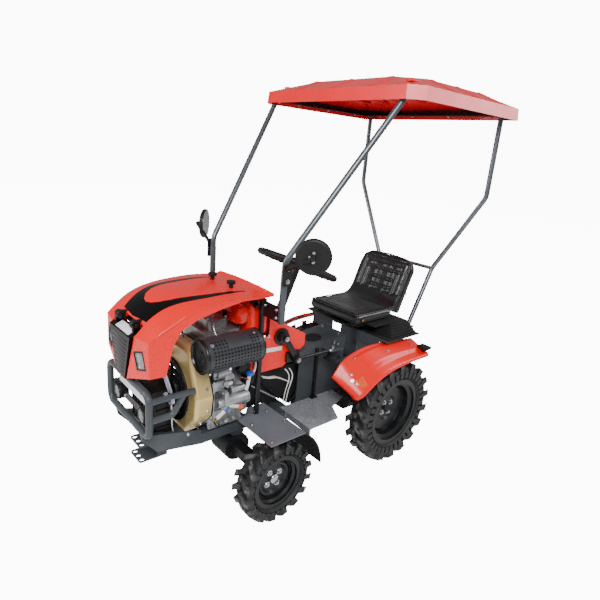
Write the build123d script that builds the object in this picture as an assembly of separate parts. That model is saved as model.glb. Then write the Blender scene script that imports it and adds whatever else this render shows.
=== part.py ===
"""Compact four-wheel ride-on tractor with an open engine, a tilting hood and a canopy on four posts.

Millimetres. +X is forward, +Y is the driver's left, +Z is up. The places below are counted from a level
floor_below above the ground, under the middle of the rear axle. At the end every piece moves back by
origin_ahead and up by floor_below, so that the origin lies on the ground under the middle of the tractor.
"""
import os
from math import atan2, cos, degrees, pi, radians, sin, tan

from build123d import *

# General clearances
cut_over = 20.0             # how far a cutting tool runs past what it cuts
seat_gap = 0.3              # between curved or sloping faces that sit together
run_gap = 0.05              # radial clearance of a shaft in its bore
pin_gap = 1.0               # end play beside a pin's eye

# Wheels and axles
floor_below = 7.0           # the ground, below the level that heights are counted from
wheelbase = 729.0
rear_radius = 254.0         # over the lugs
rear_half_width = 56.0
rear_lug_height = 19.0
rear_seat_radius = 152.4    # twelve-inch bead seat
rear_flange_radius = 171.0
rear_rim_half = 43.0
rear_track_half = 309.0     # tyre's middle plane
rear_disc_inset = 22.0      # wheel disc, inboard of the middle plane
rear_lugs = 18
front_radius = 169.0
front_half_width = 50.0
front_lug_height = 16.0
front_seat_radius = 101.6   # eight-inch bead seat
front_flange_radius = 116.0
front_rim_half = 36.0
front_track_half = 320.0
front_disc_inset = 6.0
front_lugs = 16
rim_wall = 4.0
disc_wall = 6.0
lug_width_share = 0.30      # of the pitch between lugs
lug_tip_share = 0.62        # half of a lug's width at the shoulder, as a share of its width
lug_slant_share = 0.55      # of the pitch, from the middle to the shoulder
lug_start_share = -0.10     # of the half width, where a lug's inner end lies
lug_root_share = 0.4        # of a lug's height, sunk below the shoulder
shoulder_share = 0.78       # of the half width, where the tread turns down
bulge_share = 0.45          # of the sidewall, where it is widest
hub_radius = 46.0
hub_flange = 9.0
hub_boss_radius = 26.0
hub_boss_length = 26.0
hub_cap_radius = 20.0
hub_cap_length = 14.0
spindle_radius = 15.0
spindle_reach = 30.0        # how far a spindle runs into its hub
axle_tube_radius = 34.0

# Front axle and steering
kingpin_half = 246.0        # kingpins, each side of the middle
kingpin_radius = 11.0
eye_radius = 20.0
eye_height = 60.0
ear_wall = 12.0
knuckle_web = 10.0
beam_height = 46.0
beam_width = 50.0
arm_length = 90.0
arm_width = 26.0
tie_rod_radius = 8.0
tie_rod_drop = 16.0         # tie rod's axis above the arm's upper face
tie_pin_radius = 5.0
tie_eye_radius = 13.0
tie_eye_height = 20.0
diff_radius = 62.0
diff_half_width = 60.0

# Frame
rail_half = 118.0           # rails' outer faces
rail_top = 300.0
rail_height = 44.0
rail_wall = 6.0
rail_width = 40.0
rail_rear = 180.0
rail_step = 640.0           # where the rails begin to rise to the engine
rail_rise = 34.0            # higher under the engine than under the feet
rail_rise_run = 50.0
bed_front = 946.0           # where the nose channel of the frame begins
nose_front = 1150.0
nose_top = 400.0
nose_bottom = 322.0
hitch_half = 45.0
hitch_tip = 1169.0
hitch_rear = 1096.0
hitch_plate = 8.0
hitch_lower = 252.0
hitch_upper = 318.0
hitch_hole_x = 1155.0
hitch_hole_pitch = 32.0
hitch_hole_radius = 10.0
hitch_corner = 8.0
pin_hole_radius = 13.0      # in the rear hitch
hitch_holes = 3

# Bumper guard
guard_x = 1188.0
guard_half = 178.0
guard_tube = 26.0
brace_tube = 24.0
guard_bottom = 432.0
guard_top = 598.0
guard_bend = 34.0
brace_high = 572.0
brace_low = 500.0
brace_rear = 1014.0
brace_knee = 1100.0
brace_join = 1056.0
brace_side_bend = 30.0
guard_foot_wall = 10.0
plate_low = 532.0
plate_half = 117.0
plate_wall = 3.0
lamp_bar_height = 30.0
lamp_bar_wall = 5.0
lamp_z = 491.0
lamp_half = 110.0
lamp_radius = 31.0
lamp_depth = 34.0
lamp_lens = 5.0
lamp_behind = 16.0          # of a lamp's body, behind its bar

# Nose and hood
grille_front = 1216.0
grille_top = 786.0
grille_bottom = 613.0
grille_top_half = 90.0
grille_bottom_half = 38.0
grille_depth = 42.0
grille_lid_rise = 20.0      # its lid rises towards the hinges
stay_half = 26.0
stay_wall = 6.0
stay_width = 24.0
hinge_x = 1186.0
hinge_drop = 83.0           # hinge pins, below the hood's edge at its tail
hinge_half = 76.0
hinge_radius = 9.0
hinge_pin_radius = 4.0
hinge_block = 26.0
hood_rear = 686.0
hood_front = 1219.0         # where its two swept faces would meet
hood_sweep = 32.0           # the nose's corners stand this far back
hood_nose_half = 182.0
hood_half = 195.0
hood_peak = 905.0           # edge of the hood at its tail
hood_nose_drop = 103.0      # from there down to its edge at the nose
hood_wall = 4.0
hood_flare = 5.0            # skirt's foot stands out past the edge
hinge_z = hood_peak - hinge_drop
pod_gap = 6.0               # between the nose grille and the lamp faces beside it
pod_low_inner = 617.0
pod_low_outer = 664.0
pod_rear = 1131.0
pod_lamp_half = 131.0
pod_lamp_z = 714.0
pod_lamp_width = 56.0
pod_lamp_height = 68.0
pod_lamp_depth = 22.0
pod_lamp_turn = 17.0        # outer side higher, degrees
knob_x = 802.0
knob_half = 69.0
knob_radius = 17.0
knob_height = 22.0
knob_stem = 8.0

# Engine
crank_z = 505.0
gasket_x = 935.0
gasket_wall = 6.0
shroud_front = 1009.0
shroud_low = 340.0
shroud_high = 705.0
shroud_half = 176.0
shroud_wall = 4.0
shroud_round = 16.0
case_rear = 742.0
case_half = 128.0
case_low = 334.0
case_high = 590.0
barrel_radius = 72.0
barrel_x = 845.0
fin_radius = 92.0
fin_count = 7
fin_wall = 4.0
head_length = 150.0
head_half = 92.0
head_low = 690.0
head_high = 744.0
cover_half = 60.0
cover_length = 96.0
cover_high = 782.0
fan_radius = 118.0
fan_wall = 8.0
muffler_y = 200.0
muffler_z = 712.0
muffler_front = 1012.0
muffler_rear = 759.0
muffler_radius = 66.0
pipe_radius = 19.0
tank_front = 742.0
tank_rear = 640.0
tank_half = 118.0
tank_low = 700.0
tank_high = 852.0
tank_round = 24.0

# Driver's place
console_half = 118.0
console_front = 636.0
console_rear = 431.0
console_side_front = 736.0  # its side walls run on under the tank
console_side_top = 690.0
console_nose_top = 770.0
console_tail_top = 665.0
console_low = 532.0
console_wall = 4.0
tunnel_half = 85.0
tunnel_front = 424.0
tunnel_rear = 128.0
tunnel_front_top = 556.0
tunnel_rear_top = 594.0
tunnel_wall = 4.0
case_drive_half = 62.0
case_drive_low = 346.0
case_drive_high = 500.0
step_top = 300.0
step_wall = 4.0
step_front = 515.0
step_outer = 298.0
step_rear = 190.0
step_notch = 300.0
step_lip = 26.0
gearbox_front = 120.0
gearbox_rear = -100.0
gearbox_half = 92.0
gearbox_low = 165.0
gearbox_high = 420.0
deck_top = 604.0
deck_wall = 5.0
deck_front = 51.0
deck_rear = -202.0
deck_half = 287.0
deck_skirt = 60.0           # plate that hangs from its front edge
pedestal_half = 60.0
bellows_front = -20.0
bellows_rear = -196.0
bellows_half = 150.0
bellows_folds = 5
seat_low = 664.0
seat_thick = 50.0
seat_front = 158.0
seat_rear = -170.0
seat_half = 175.0
back_thick = 54.0
back_high = 962.0
back_lean = 22.0
column_x = 407.0
column_z = 950.0
column_tilt = 67.5          # column above the ground
column_radius = 19.0
column_foot = 706.0
wheel_rim_radius = 190.0
wheel_grip_radius = 13.0
wheel_hub_radius = 36.0
wheel_hub_height = 34.0
spoke_width = 26.0
spoke_wall = 8.0
shaft_radius = 9.0
shaft_reach = 40.0

# Fenders
front_plate_z = 355.0
front_plate_wall = 4.0
front_plate_outer = 366.0
front_plate_front = 787.0
front_plate_rear = 612.0
front_plate_inner = 136.0
front_plate_neck = 122.0
flap_wall = 5.0
flap_turn = 36.0
rear_fender_outer = 372.0
rear_fender_inner = 242.0
fender_wall = 4.0
fender_front = 312.0
fender_rear = -200.0
fender_low = 408.0
fender_edge_top = 524.0
fender_top = 588.0
tail_lamp_y = 330.0
tail_lamp_radius = 26.0
tail_lamp_length = 16.0

# Canopy
post_radius = 12.0
strut_x = 692.0
strut_y = 133.0
strut_top = 861.0
strut_radius = 11.0
bracket_wall = 8.0
bracket_low = 800.0
post_foot_x = 690.0
post_foot_y = 253.0
post_bend_z = 1043.0
front_top_x = 282.0
front_top_y = 385.0
top_z = 1661.0
rear_top_x = -411.0
rear_top_y = 395.0
rear_bend_z = 1295.0
rear_knee_x = -383.0
rear_knee_y = 181.0
rear_knee_z = 902.0
rear_foot_y = 181.0
rear_foot_x = -243.0
post_bend = 60.0
roof_front = 318.0
roof_rear = -440.0
roof_half = 462.0
roof_hang = 16.0            # roof's hem, below its frame
roof_height = 107.0
roof_skirt = 50.0
roof_slope_run = 150.0
roof_chamfer = 50.0
roof_wall = 4.0
roof_low = top_z - roof_hang
roof_high = roof_low + roof_height
angle_leg = 30.0
angle_wall = 4.0
mirror_x = 667.0
mirror_y = 377.0
mirror_z = 1084.0
mirror_radius = 66.0
mirror_wall = 18.0
mirror_stem = 8.0
mirror_clamp_low = 955.0
mirror_clamp_high = 1034.0

# Middle of the tractor's length, ahead of the rear axle
origin_ahead = (grille_front + roof_rear) / 2

parts = {}


def box(x0, x1, y0, y1, z0, z1):
    """A block between two corners."""
    size = Box(x1 - x0, y1 - y0, z1 - z0)
    return Pos((x0 + x1) / 2, (y0 + y1) / 2, (z0 + z1) / 2) * size


def rod(start, end, radius):
    """A round bar between two points."""
    a, b = Vector(*start), Vector(*end)
    plane = Plane(origin=a, z_dir=b - a)
    return extrude(plane * Circle(radius), amount=(b - a).length)


def bent_bar(points, radius, bend):
    """A round bar along straight runs joined by arcs."""
    path = FilletPolyline(*points, radius=bend)
    return sweep(Plane(origin=path @ 0, z_dir=path % 0) * Circle(radius), path=path)


def side_prism(outline, y0, y1):
    """An outline of (x, z) points in the side view, as thick as from y0 to y1."""
    face = make_face(Polyline(*[(x, 0, z) for x, z in outline], close=True))
    return Pos(0, y0, 0) * extrude(face, amount=y1 - y0, dir=(0, 1, 0))


def plan_prism(outline, z0, z1):
    """An outline of (x, y) points in the plan view, as thick as from z0 to z1."""
    face = make_face(Polyline(*[(x, y, 0) for x, y in outline], close=True))
    return Pos(0, 0, z0) * extrude(face, amount=z1 - z0, dir=(0, 0, 1))


def front_prism(outline, x0, x1):
    """An outline of (y, z) points in the front view, as thick as from x0 to x1."""
    face = make_face(Polyline(*[(0, y, z) for y, z in outline], close=True))
    return Pos(x0, 0, 0) * extrude(face, amount=x1 - x0, dir=(1, 0, 0))


def mirrored(shape):
    """The same piece on the driver's other side."""
    return mirror(shape, about=Plane.XZ)


def both_sides(shape):
    """A piece and its mirror image."""
    return shape + mirrored(shape)


def turned(outline):
    """A closed outline of (radius, y) points turned about the Y axis."""
    return revolve(make_face(Polyline(*outline, close=True)), Axis.Y)


# Wheels, each made about its own middle on the Y axis, with its outer side towards +Y
def ring_face(radius, sides, y):
    """A many-sided disc across the Y axis, with a flat under each lug's foot."""
    plane = Plane(origin=(0, y, 0), x_dir=(1, 0, 0), z_dir=(0, 1, 0))
    return plane * Rot(0, 0, 180 / sides) * RegularPolygon(radius / cos(pi / sides), sides, major_radius=True)


def make_tyre(radius, half_width, lug_height, seat_radius, flange_radius, rim_half, lugs):
    """Carcass with two staggered rows of tall slanted lugs that meet in the middle of the tread."""
    sides = 2 * lugs
    base = radius - lug_height
    bead = rim_half - rim_wall - seat_gap
    bulge = flange_radius + (base - flange_radius) * bulge_share
    tread_half = half_width * shoulder_share
    shoulder = base - lug_height
    outline = [(shoulder, half_width), (base, tread_half), (base, -tread_half), (shoulder, -half_width)]
    carcass = loft([ring_face(reach, sides, y) for reach, y in outline], ruled=True)
    dish = loft([ring_face(flange_radius, sides, bead), ring_face(bulge, sides, half_width + seat_gap)], ruled=True)
    carcass -= dish + mirrored(dish)
    bore = extrude(ring_face((seat_radius + seat_gap) / cos(pi / sides), sides, -half_width), amount=2 * half_width)
    carcass -= bore
    pitch = 2 * pi * radius / lugs
    width = pitch * lug_width_share
    slant = pitch * lug_slant_share
    tip = width * lug_tip_share
    root = shoulder - lug_height * lug_root_share
    bars = []
    for side in (1, -1):
        outer = side * half_width
        inner = side * half_width * lug_start_share
        foot = make_face(Polyline((inner, -width / 2), (inner, width / 2), (outer, tip + slant),
                                  (outer, slant - tip), close=True))
        bar = extrude(Plane(origin=(root, 0, 0), x_dir=(0, 1, 0), z_dir=(1, 0, 0)) * foot, amount=radius - root)
        corner = half_width - tread_half
        bar -= Pos(radius, outer, 0) * Rot(0, 0, 45) * Box(corner, corner, 4 * pitch)
        for count in range(lugs):
            turn = 360.0 * (count + (0.5 if side < 0 else 0)) / lugs
            bars.append(Rot(0, turn, 0) * bar)
    return carcass.fuse(*bars)


def make_rim(seat_radius, flange_radius, rim_half, disc_inset):
    """Rolled rim with a dropped middle, and a wheel disc that its hub fills."""
    inner = seat_radius - rim_wall
    well = (seat_radius - hub_radius) * 0.16
    well_half = rim_half * 0.4
    barrel = turned([
        (inner, -rim_half), (flange_radius, -rim_half), (flange_radius, rim_wall - rim_half),
        (seat_radius, rim_wall - rim_half), (seat_radius, -well_half * 1.5), (seat_radius - well, -well_half),
        (seat_radius - well, well_half), (seat_radius, well_half * 1.5), (seat_radius, rim_half - rim_wall),
        (flange_radius, rim_half - rim_wall), (flange_radius, rim_half), (inner, rim_half),
        (inner, well_half * 1.6), (inner - well, well_half), (inner - well, -well_half),
        (inner, -well_half * 1.6)])
    disc = Pos(0, -disc_inset, 0) * turned([
        (hub_boss_radius / 2, 0), (hub_radius + hub_flange, 0), (hub_radius + 2 * hub_flange, hub_flange),
        (inner - well - 2 * hub_flange, hub_flange), (inner - well, 0), (inner - well, disc_wall),
        (inner - well - 2 * hub_flange, hub_flange + disc_wall),
        (hub_radius + 2 * hub_flange, hub_flange + disc_wall), (hub_radius + hub_flange, disc_wall),
        (hub_boss_radius / 2, disc_wall)])
    return barrel + disc


def make_hub(disc_inset):
    """Hub behind the wheel disc, with a blind bore from the inner side and a cap outside."""
    face = -disc_inset
    outside = turned([
        (0, face - hub_flange - hub_boss_length), (hub_boss_radius, face - hub_flange - hub_boss_length),
        (hub_boss_radius, face - hub_flange), (hub_radius, face - hub_flange), (hub_radius, face),
        (hub_boss_radius, face), (hub_boss_radius, face + disc_wall), (hub_cap_radius, face + disc_wall),
        (hub_cap_radius, face + disc_wall + hub_cap_length * 0.7),
        (hub_cap_radius * 0.8, face + disc_wall + hub_cap_length), (0, face + disc_wall + hub_cap_length)])
    start = face - hub_flange - hub_boss_length
    bore = rod((0, start - cut_over, 0), (0, start + spindle_reach, 0), spindle_radius)
    return outside - bore


wheel_sets = [
    # name, x, radius, half width, lug height, seat radius, flange radius, rim half, track half, inset, lugs
    ("rear", 0.0, rear_radius, rear_half_width, rear_lug_height, rear_seat_radius, rear_flange_radius,
     rear_rim_half, rear_track_half, rear_disc_inset, rear_lugs),
    ("front", wheelbase, front_radius, front_half_width, front_lug_height, front_seat_radius,
     front_flange_radius, front_rim_half, front_track_half, front_disc_inset, front_lugs),
]
hub_inner = {}
for name, x, radius, half, lug, seat, flange, rim_half, track, inset, lugs in wheel_sets:
    place = Pos(x, track, radius - floor_below)
    tyre = place * Rot(0, 90, 0) * make_tyre(radius, half, lug, seat, flange, rim_half, lugs)
    rim = place * make_rim(seat, flange, rim_half, inset)
    hub = place * make_hub(inset)
    hub_inner[name] = track - inset - hub_flange - hub_boss_length
    for kind, shape in (("tyre", tyre), ("rim", rim + hub)):
        parts[f"{name}_{kind}_left"] = shape
        parts[f"{name}_{kind}_right"] = mirrored(shape)

# Rear axle and gearbox
rear_z = rear_radius - floor_below
parts["gearbox"] = fillet(
    box(gearbox_rear, gearbox_front, -gearbox_half, gearbox_half, gearbox_low, gearbox_high).edges()
    .filter_by(Axis.Y), gearbox_half * 0.5)
axle_end = hub_inner["rear"] - hub_flange
half_axle = rod((0, gearbox_half, rear_z), (0, axle_end, rear_z), axle_tube_radius)
half_axle += rod((0, axle_end, rear_z), (0, hub_inner["rear"] + spindle_reach - pin_gap, rear_z),
                 spindle_radius - run_gap)
half_axle += rod((0, gearbox_half, rear_z), (0, gearbox_half + hub_flange, rear_z),
                 axle_tube_radius * 1.5)
parts["rear_axle"] = both_sides(half_axle)

# Front axle beam with a middle housing and an eye for each kingpin
beam_z = front_radius - floor_below
beam = box(wheelbase - beam_width / 2, wheelbase + beam_width / 2, -kingpin_half, kingpin_half,
           beam_z - beam_height / 2, beam_z + beam_height / 2)
eye = rod((wheelbase, kingpin_half, beam_z - eye_height / 2), (wheelbase, kingpin_half, beam_z + eye_height / 2),
          eye_radius)
eye_clear = box(wheelbase - beam_width, wheelbase + beam_width, kingpin_half - eye_radius * 0.6,
                kingpin_half + cut_over, 0, 2 * beam_z)
beam = beam - both_sides(eye_clear) + both_sides(eye)
beam += rod((wheelbase, -diff_half_width, beam_z), (wheelbase, diff_half_width, beam_z), diff_radius)
kingpin_hole = rod((wheelbase, kingpin_half, 0), (wheelbase, kingpin_half, 2 * beam_z),
                   kingpin_radius + run_gap)
parts["front_axle"] = beam - both_sides(kingpin_hole)

# Pedestal that carries the axle under the rails
pedestal_low = beam_z + diff_radius + seat_gap
rail_low = rail_top - rail_height
bed_top = rail_top + rail_rise
bed_low = rail_low + rail_rise
pedestal = side_prism([
    (wheelbase - beam_width, bed_low), (wheelbase + beam_width, bed_low),
    (wheelbase + beam_width / 2, pedestal_low), (wheelbase - beam_width / 2, pedestal_low)],
    -diff_half_width, diff_half_width)
pedestal += box(wheelbase - beam_width, wheelbase + beam_width, rail_width - rail_half, rail_half - rail_width,
                bed_low, bed_low + rail_wall)

# Steering knuckles: a fork with the kingpin, the wheel's spindle and the steering arm
ear_low = beam_z - eye_height / 2 - pin_gap - ear_wall
ear_high = beam_z + eye_height / 2 + pin_gap
web_inner = kingpin_half + eye_radius + 2 * pin_gap
fork = box(wheelbase - eye_radius, wheelbase + eye_radius, web_inner, web_inner + knuckle_web,
           ear_low, ear_high + ear_wall)
for low in (ear_low, ear_high):
    fork += box(wheelbase - eye_radius, wheelbase + eye_radius, kingpin_half, web_inner, low, low + ear_wall)
    fork += rod((wheelbase, kingpin_half, low), (wheelbase, kingpin_half, low + ear_wall), eye_radius)
fork += rod((wheelbase, kingpin_half, ear_low), (wheelbase, kingpin_half, ear_high + ear_wall), kingpin_radius)
fork += rod((wheelbase, web_inner, beam_z), (wheelbase, hub_inner["front"] + spindle_reach - pin_gap, beam_z),
            spindle_radius - run_gap)
arm_top = ear_high + ear_wall
arm = box(wheelbase - arm_length, wheelbase, kingpin_half - arm_width / 2, kingpin_half + arm_width / 2,
          ear_high, arm_top)
arm += rod((wheelbase - arm_length, kingpin_half, ear_high), (wheelbase - arm_length, kingpin_half, arm_top),
           arm_width / 2)
arm += rod((wheelbase - arm_length, kingpin_half, ear_high),
           (wheelbase - arm_length, kingpin_half, arm_top + tie_rod_drop + tie_eye_height / 2), tie_pin_radius)
parts["knuckle_left"] = fork + arm
parts["knuckle_right"] = mirrored(fork + arm)

# Tie rod with an eye over each arm's pin
tie_z = arm_top + tie_rod_drop
tie_x = wheelbase - arm_length
tie = rod((tie_x, -kingpin_half, tie_z), (tie_x, kingpin_half, tie_z), tie_rod_radius)
for side in (-1, 1):
    tie += rod((tie_x, side * kingpin_half, tie_z - tie_eye_height / 2),
               (tie_x, side * kingpin_half, tie_z + tie_eye_height / 2), tie_eye_radius)
    clearance = run_gap if side > 0 else pin_gap
    tie -= rod((tie_x, side * kingpin_half, tie_z - cut_over), (tie_x, side * kingpin_half, tie_z + cut_over),
               tie_pin_radius + clearance)
parts["tie_rod"] = tie

# Frame: two channel rails that rise under the engine, cross plates, and the nose that carries the guard
rise_end = rail_step + rail_rise_run


def rail_outline(inset, over):
    """A rail's outline in the side view, drawn in by an inset and run on past its ends."""
    low, high = rail_low + inset, rail_top - inset
    return [(rail_rear - over, low), (rail_step, low), (rise_end, low + rail_rise),
            (bed_front + over, low + rail_rise), (bed_front + over, high + rail_rise),
            (rise_end, high + rail_rise), (rail_step, high), (rail_rear - over, high)]


rail = side_prism(rail_outline(0, 0), rail_half - rail_width, rail_half)
rail -= side_prism(rail_outline(rail_wall, cut_over), rail_half - rail_width - cut_over, rail_half - rail_wall)
nose_rear_top = nose_bottom + rail_height * 0.7
nose_outline = [(bed_front, nose_rear_top), (nose_front, nose_top),
                (nose_front - rail_width / 2, nose_bottom), (bed_front, bed_low)]
nose_inner = [(bed_front - cut_over, nose_rear_top - rail_wall), (bed_front, nose_rear_top - rail_wall),
              (nose_front - 2 * rail_wall, nose_top - 2 * rail_wall),
              (nose_front - rail_width / 2 - rail_wall, nose_bottom),
              (nose_front - rail_width / 2 - rail_wall, 0), (bed_front - cut_over, 0)]
nose = side_prism(nose_outline, -rail_half, rail_half)
nose -= side_prism(nose_inner, rail_wall - rail_half, rail_half - rail_wall)
nose -= box(bed_front - cut_over, shroud_front + rail_wall, rail_wall - rail_half, rail_half - rail_wall,
            nose_bottom, nose_top)
bed = box(case_rear, gasket_x, rail_width - rail_half, rail_half - rail_width, bed_top - rail_wall, bed_top)
rear_cross = box(rail_rear, rail_rear + rail_width, rail_width - rail_half, rail_half - rail_width,
                 rail_low, rail_top)
mid_cross = box(step_front - rail_width, step_front, rail_width - rail_half, rail_half - rail_width,
                rail_low, rail_top)
parts["chassis_frame"] = both_sides(rail) + nose + bed + rear_cross + mid_cross + pedestal

# Front hitch: two plates with a row of round holes on a web under the frame's nose
hitch_holes_cut = None
for count in range(hitch_holes):
    hole_y = (count - (hitch_holes - 1) / 2) * hitch_hole_pitch
    hole = rod((hitch_hole_x, hole_y, 0), (hitch_hole_x, hole_y, nose_top), hitch_hole_radius)
    hitch_holes_cut = hole if hitch_holes_cut is None else hitch_holes_cut + hole
hitch = None
for level in (hitch_lower, hitch_upper):
    plate = box(hitch_rear, hitch_tip, -hitch_half, hitch_half, level - hitch_plate, level)
    plate = fillet(plate.edges().filter_by(Axis.Z).sort_by(Axis.X)[-2:], hitch_corner) - hitch_holes_cut
    hitch = plate if hitch is None else hitch + plate
web = box(hitch_rear - rail_wall, hitch_rear, -hitch_half, hitch_half, hitch_lower, nose_top)
for side in (-1, 1):
    inner, outer = sorted((side * (hitch_half - rail_wall), side * hitch_half))
    web += box(hitch_rear - rail_width, hitch_rear, inner, outer, hitch_lower, nose_top)
web = web & Pos(0, 0, -seat_gap) * side_prism(nose_inner, -rail_half, rail_half)
hitch_base = box(hitch_rear - rail_width, hitch_rear, -hitch_half, hitch_half, hitch_lower - hitch_plate,
                 hitch_lower)
parts["front_hitch"] = hitch + web + hitch_base

# Bumper guard: a closed front loop, side braces and two feet on the frame's nose
loop = bent_bar([(guard_x, 0, guard_bottom), (guard_x, guard_half, guard_bottom),
                 (guard_x, guard_half, guard_top), (guard_x, 0, guard_top)], guard_tube / 2, guard_bend)
brace = rod((guard_x, guard_half, brace_high), (brace_rear, guard_half, brace_high), brace_tube / 2)
brace += bent_bar([(guard_x, guard_half, brace_low), (brace_knee, guard_half, brace_low),
                   (brace_join, guard_half, brace_high)], brace_tube / 2, brace_side_bend)
foot = side_prism([(nose_front, nose_top), (guard_x - guard_tube / 2, guard_bottom - guard_tube / 2),
                   (guard_x + guard_tube / 3, guard_bottom), (guard_x, guard_bottom - rail_height),
                   (nose_front - rail_width / 2, nose_bottom)], rail_half - guard_foot_wall, rail_half)
parts["bumper_guard"] = both_sides(loop + brace + foot)

guard_back = guard_x - guard_tube / 2 - seat_gap
parts["front_plate"] = box(guard_back - plate_wall, guard_back, -plate_half, plate_half, plate_low, guard_top)
bar_back = guard_back - lamp_bar_wall
lamp_bar = box(bar_back, guard_back, guard_tube / 2 - guard_half, guard_half - guard_tube / 2,
               lamp_z - lamp_bar_height / 2, lamp_z + lamp_bar_height / 2)
lamp_bar += box(bar_back, guard_back, -guard_half, guard_half, lamp_z - lamp_bar_height / 2,
                brace_low - brace_tube / 2 - seat_gap)
lamp_rear = bar_back - lamp_behind
lamp_face = lamp_rear + lamp_depth
for side in (-1, 1):
    lamp_bar += rod((lamp_rear, side * lamp_half, lamp_z), (lamp_face, side * lamp_half, lamp_z), lamp_radius)
parts["lamp_bar"] = lamp_bar
lens = rod((lamp_face, lamp_half, lamp_z), (lamp_face + lamp_lens, lamp_half, lamp_z), lamp_radius - lamp_lens)
parts["guard_lamps"] = both_sides(lens)

# Nose grille on two stays, with the hinge blocks on its top
def grille_body(inset):
    """The tapered grille with its lid, or its inside when drawn in by the wall."""
    lid_top = grille_top + grille_lid_rise
    low, high = grille_bottom_half - inset, grille_top_half - inset
    face = front_prism([(-low, grille_bottom + inset), (low, grille_bottom + inset), (high, grille_top),
                        (high, lid_top), (-high, lid_top), (-high, grille_top)],
                       grille_front - 2 * grille_depth, grille_front - inset)
    over = cut_over if inset else 0
    lid_run = grille_depth + over
    lid_back = grille_top + grille_lid_rise * lid_run / grille_depth
    side = side_prism([(grille_front, 0), (grille_front, grille_top - inset), (grille_front - lid_run, lid_back - inset),
                       (grille_front - lid_run, 0)], -2 * grille_top_half, 2 * grille_top_half)
    return face & side


stay_x = grille_front - grille_depth
grille = grille_body(0.0) - grille_body(hood_wall)
for side in (-1, 1):
    middle = side * stay_half
    stay_foot = guard_top + guard_tube / 2 + seat_gap
    stay_inner, stay_outer = min(0, side * stay_half), max(0, side * stay_half)
    grille += box(stay_x, stay_x + stay_wall, stay_inner, stay_outer, stay_foot, grille_top)
    grille += box(stay_x, grille_front - hood_wall, stay_inner, stay_outer, stay_foot, grille_bottom + hood_wall)
    edge = side * hinge_half
    block = box(hinge_x - hinge_block / 2, hinge_x + hinge_block / 2, edge - hinge_block / 4,
                edge + hinge_block / 4, grille_top, hinge_z)
    block += rod((hinge_x, edge - hinge_block / 4, hinge_z), (hinge_x, edge + hinge_block / 4, hinge_z),
                 hinge_block / 2)
    block -= rod((hinge_x, edge - hinge_block, hinge_z), (hinge_x, edge + hinge_block, hinge_z),
                 hinge_pin_radius + run_gap)
    grille += block
parts["nose_grille"] = grille

# Hood: a crowned shell lofted through stations, with swept lamp faces each side of the grille
hood_length = hood_front - hood_rear
hood_foot = pod_low_inner - cut_over
station_shares = [
    # along the hood, drop of the edge, crown above the edge, half width
    (0.00, 0.00, 0.06, 1.000), (0.28, 0.04, 0.10, 1.000), (0.50, 0.10, 0.16, 1.000), (0.68, 0.24, 0.24, 0.990),
    (0.84, 0.62, 0.22, 0.960), (0.94, 1.06, 0.13, 0.935), (1.00, 1.28, 0.10, 0.920)]


def hood_body(inset):
    """The hood's outside as a solid, or its inside when inset by the wall."""
    sections = []
    for along, drop, crown, across in station_shares:
        x = hood_rear + along * hood_length
        if along == 0:
            x -= inset and cut_over
        if along == 1:
            x += inset and cut_over
        edge = hood_peak - drop * hood_nose_drop - inset
        half = across * hood_half - inset
        top = ThreePointArc((x, -half, edge), (x, 0, edge + crown * hood_nose_drop), (x, half, edge))
        side = Polyline((x, half, edge), (x, half + hood_flare, hood_foot), (x, -half - hood_flare, hood_foot),
                        (x, -half, edge))
        sections.append(make_face(Wire(top.edges() + side.edges())))
    return loft(sections)


def swept_nose(inset):
    """What lies behind the hood's two swept faces, drawn back by an inset."""
    tip = hood_front - inset
    corner = hood_front - hood_sweep * hood_half / hood_nose_half - inset
    tail = hood_rear - 2 * cut_over
    return plan_prism([(tail, -hood_half - cut_over), (corner, -hood_half - cut_over), (tip, 0),
                       (corner, hood_half + cut_over), (tail, hood_half + cut_over)], 0, 2 * hood_peak)


skirt_shares = [
    # along the hood, below the tail's edge as a share of the nose drop
    (-0.05, 0.11), (0.27, 0.13), (0.45, 0.30), (0.617, 0.52), (0.73, 0.82), (0.785, 1.30)]
skirt_line = [(hood_rear + along * hood_length, hood_peak - drop * hood_nose_drop)
              for along, drop in skirt_shares]
hood = (hood_body(0.0) & swept_nose(0.0)) - (hood_body(hood_wall) & swept_nose(hood_wall))
hood -= side_prism(skirt_line + [(pod_rear, pod_low_outer), (pod_rear, 0), (hood_rear - cut_over, 0)],
                   -2 * hood_half, 2 * hood_half)
pod_foot = grille_bottom_half + pod_gap
pod_edge = grille_top_half + pod_gap
under_line = front_prism([(pod_foot, pod_low_inner), (hood_nose_half, pod_low_outer),
                          (2 * hood_half, pod_low_outer), (2 * hood_half, 0), (0, 0), (0, pod_low_inner)],
                         pod_rear - pin_gap, hood_front + cut_over)
hood -= both_sides(under_line)
hood_cut_x = hinge_x - hinge_block / 2 - 5 * pin_gap
grille_slot = front_prism([(-pod_foot, 0), (pod_foot, 0), (pod_foot, grille_bottom), (pod_edge, grille_top),
                           (pod_edge, 2 * hood_peak), (-pod_edge, 2 * hood_peak), (-pod_edge, grille_top),
                           (-pod_foot, grille_bottom)], hood_cut_x, hood_front + 2 * cut_over)
hood -= grille_slot
lamp_sweep = atan2(hood_sweep, hood_nose_half)
lamp_x = hood_front - hood_sweep * pod_lamp_half / hood_nose_half
lamp_seat = Pos(lamp_x, pod_lamp_half, pod_lamp_z) * Rot(0, 0, degrees(lamp_sweep)) * Rot(pod_lamp_turn, 0, 0)
lamp_hole = lamp_seat * Box(2 * pod_lamp_depth, pod_lamp_width, pod_lamp_height)
hood -= both_sides(lamp_hole)
tongue_inner = hinge_half - hinge_block * 0.75 - pin_gap
tongue_outer = hinge_half - hinge_block / 4 - pin_gap
tongue = box(hood_cut_x - rail_width, hood_cut_x, tongue_inner, tongue_outer, hinge_z - hinge_radius,
             hinge_z + rail_height)
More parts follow.
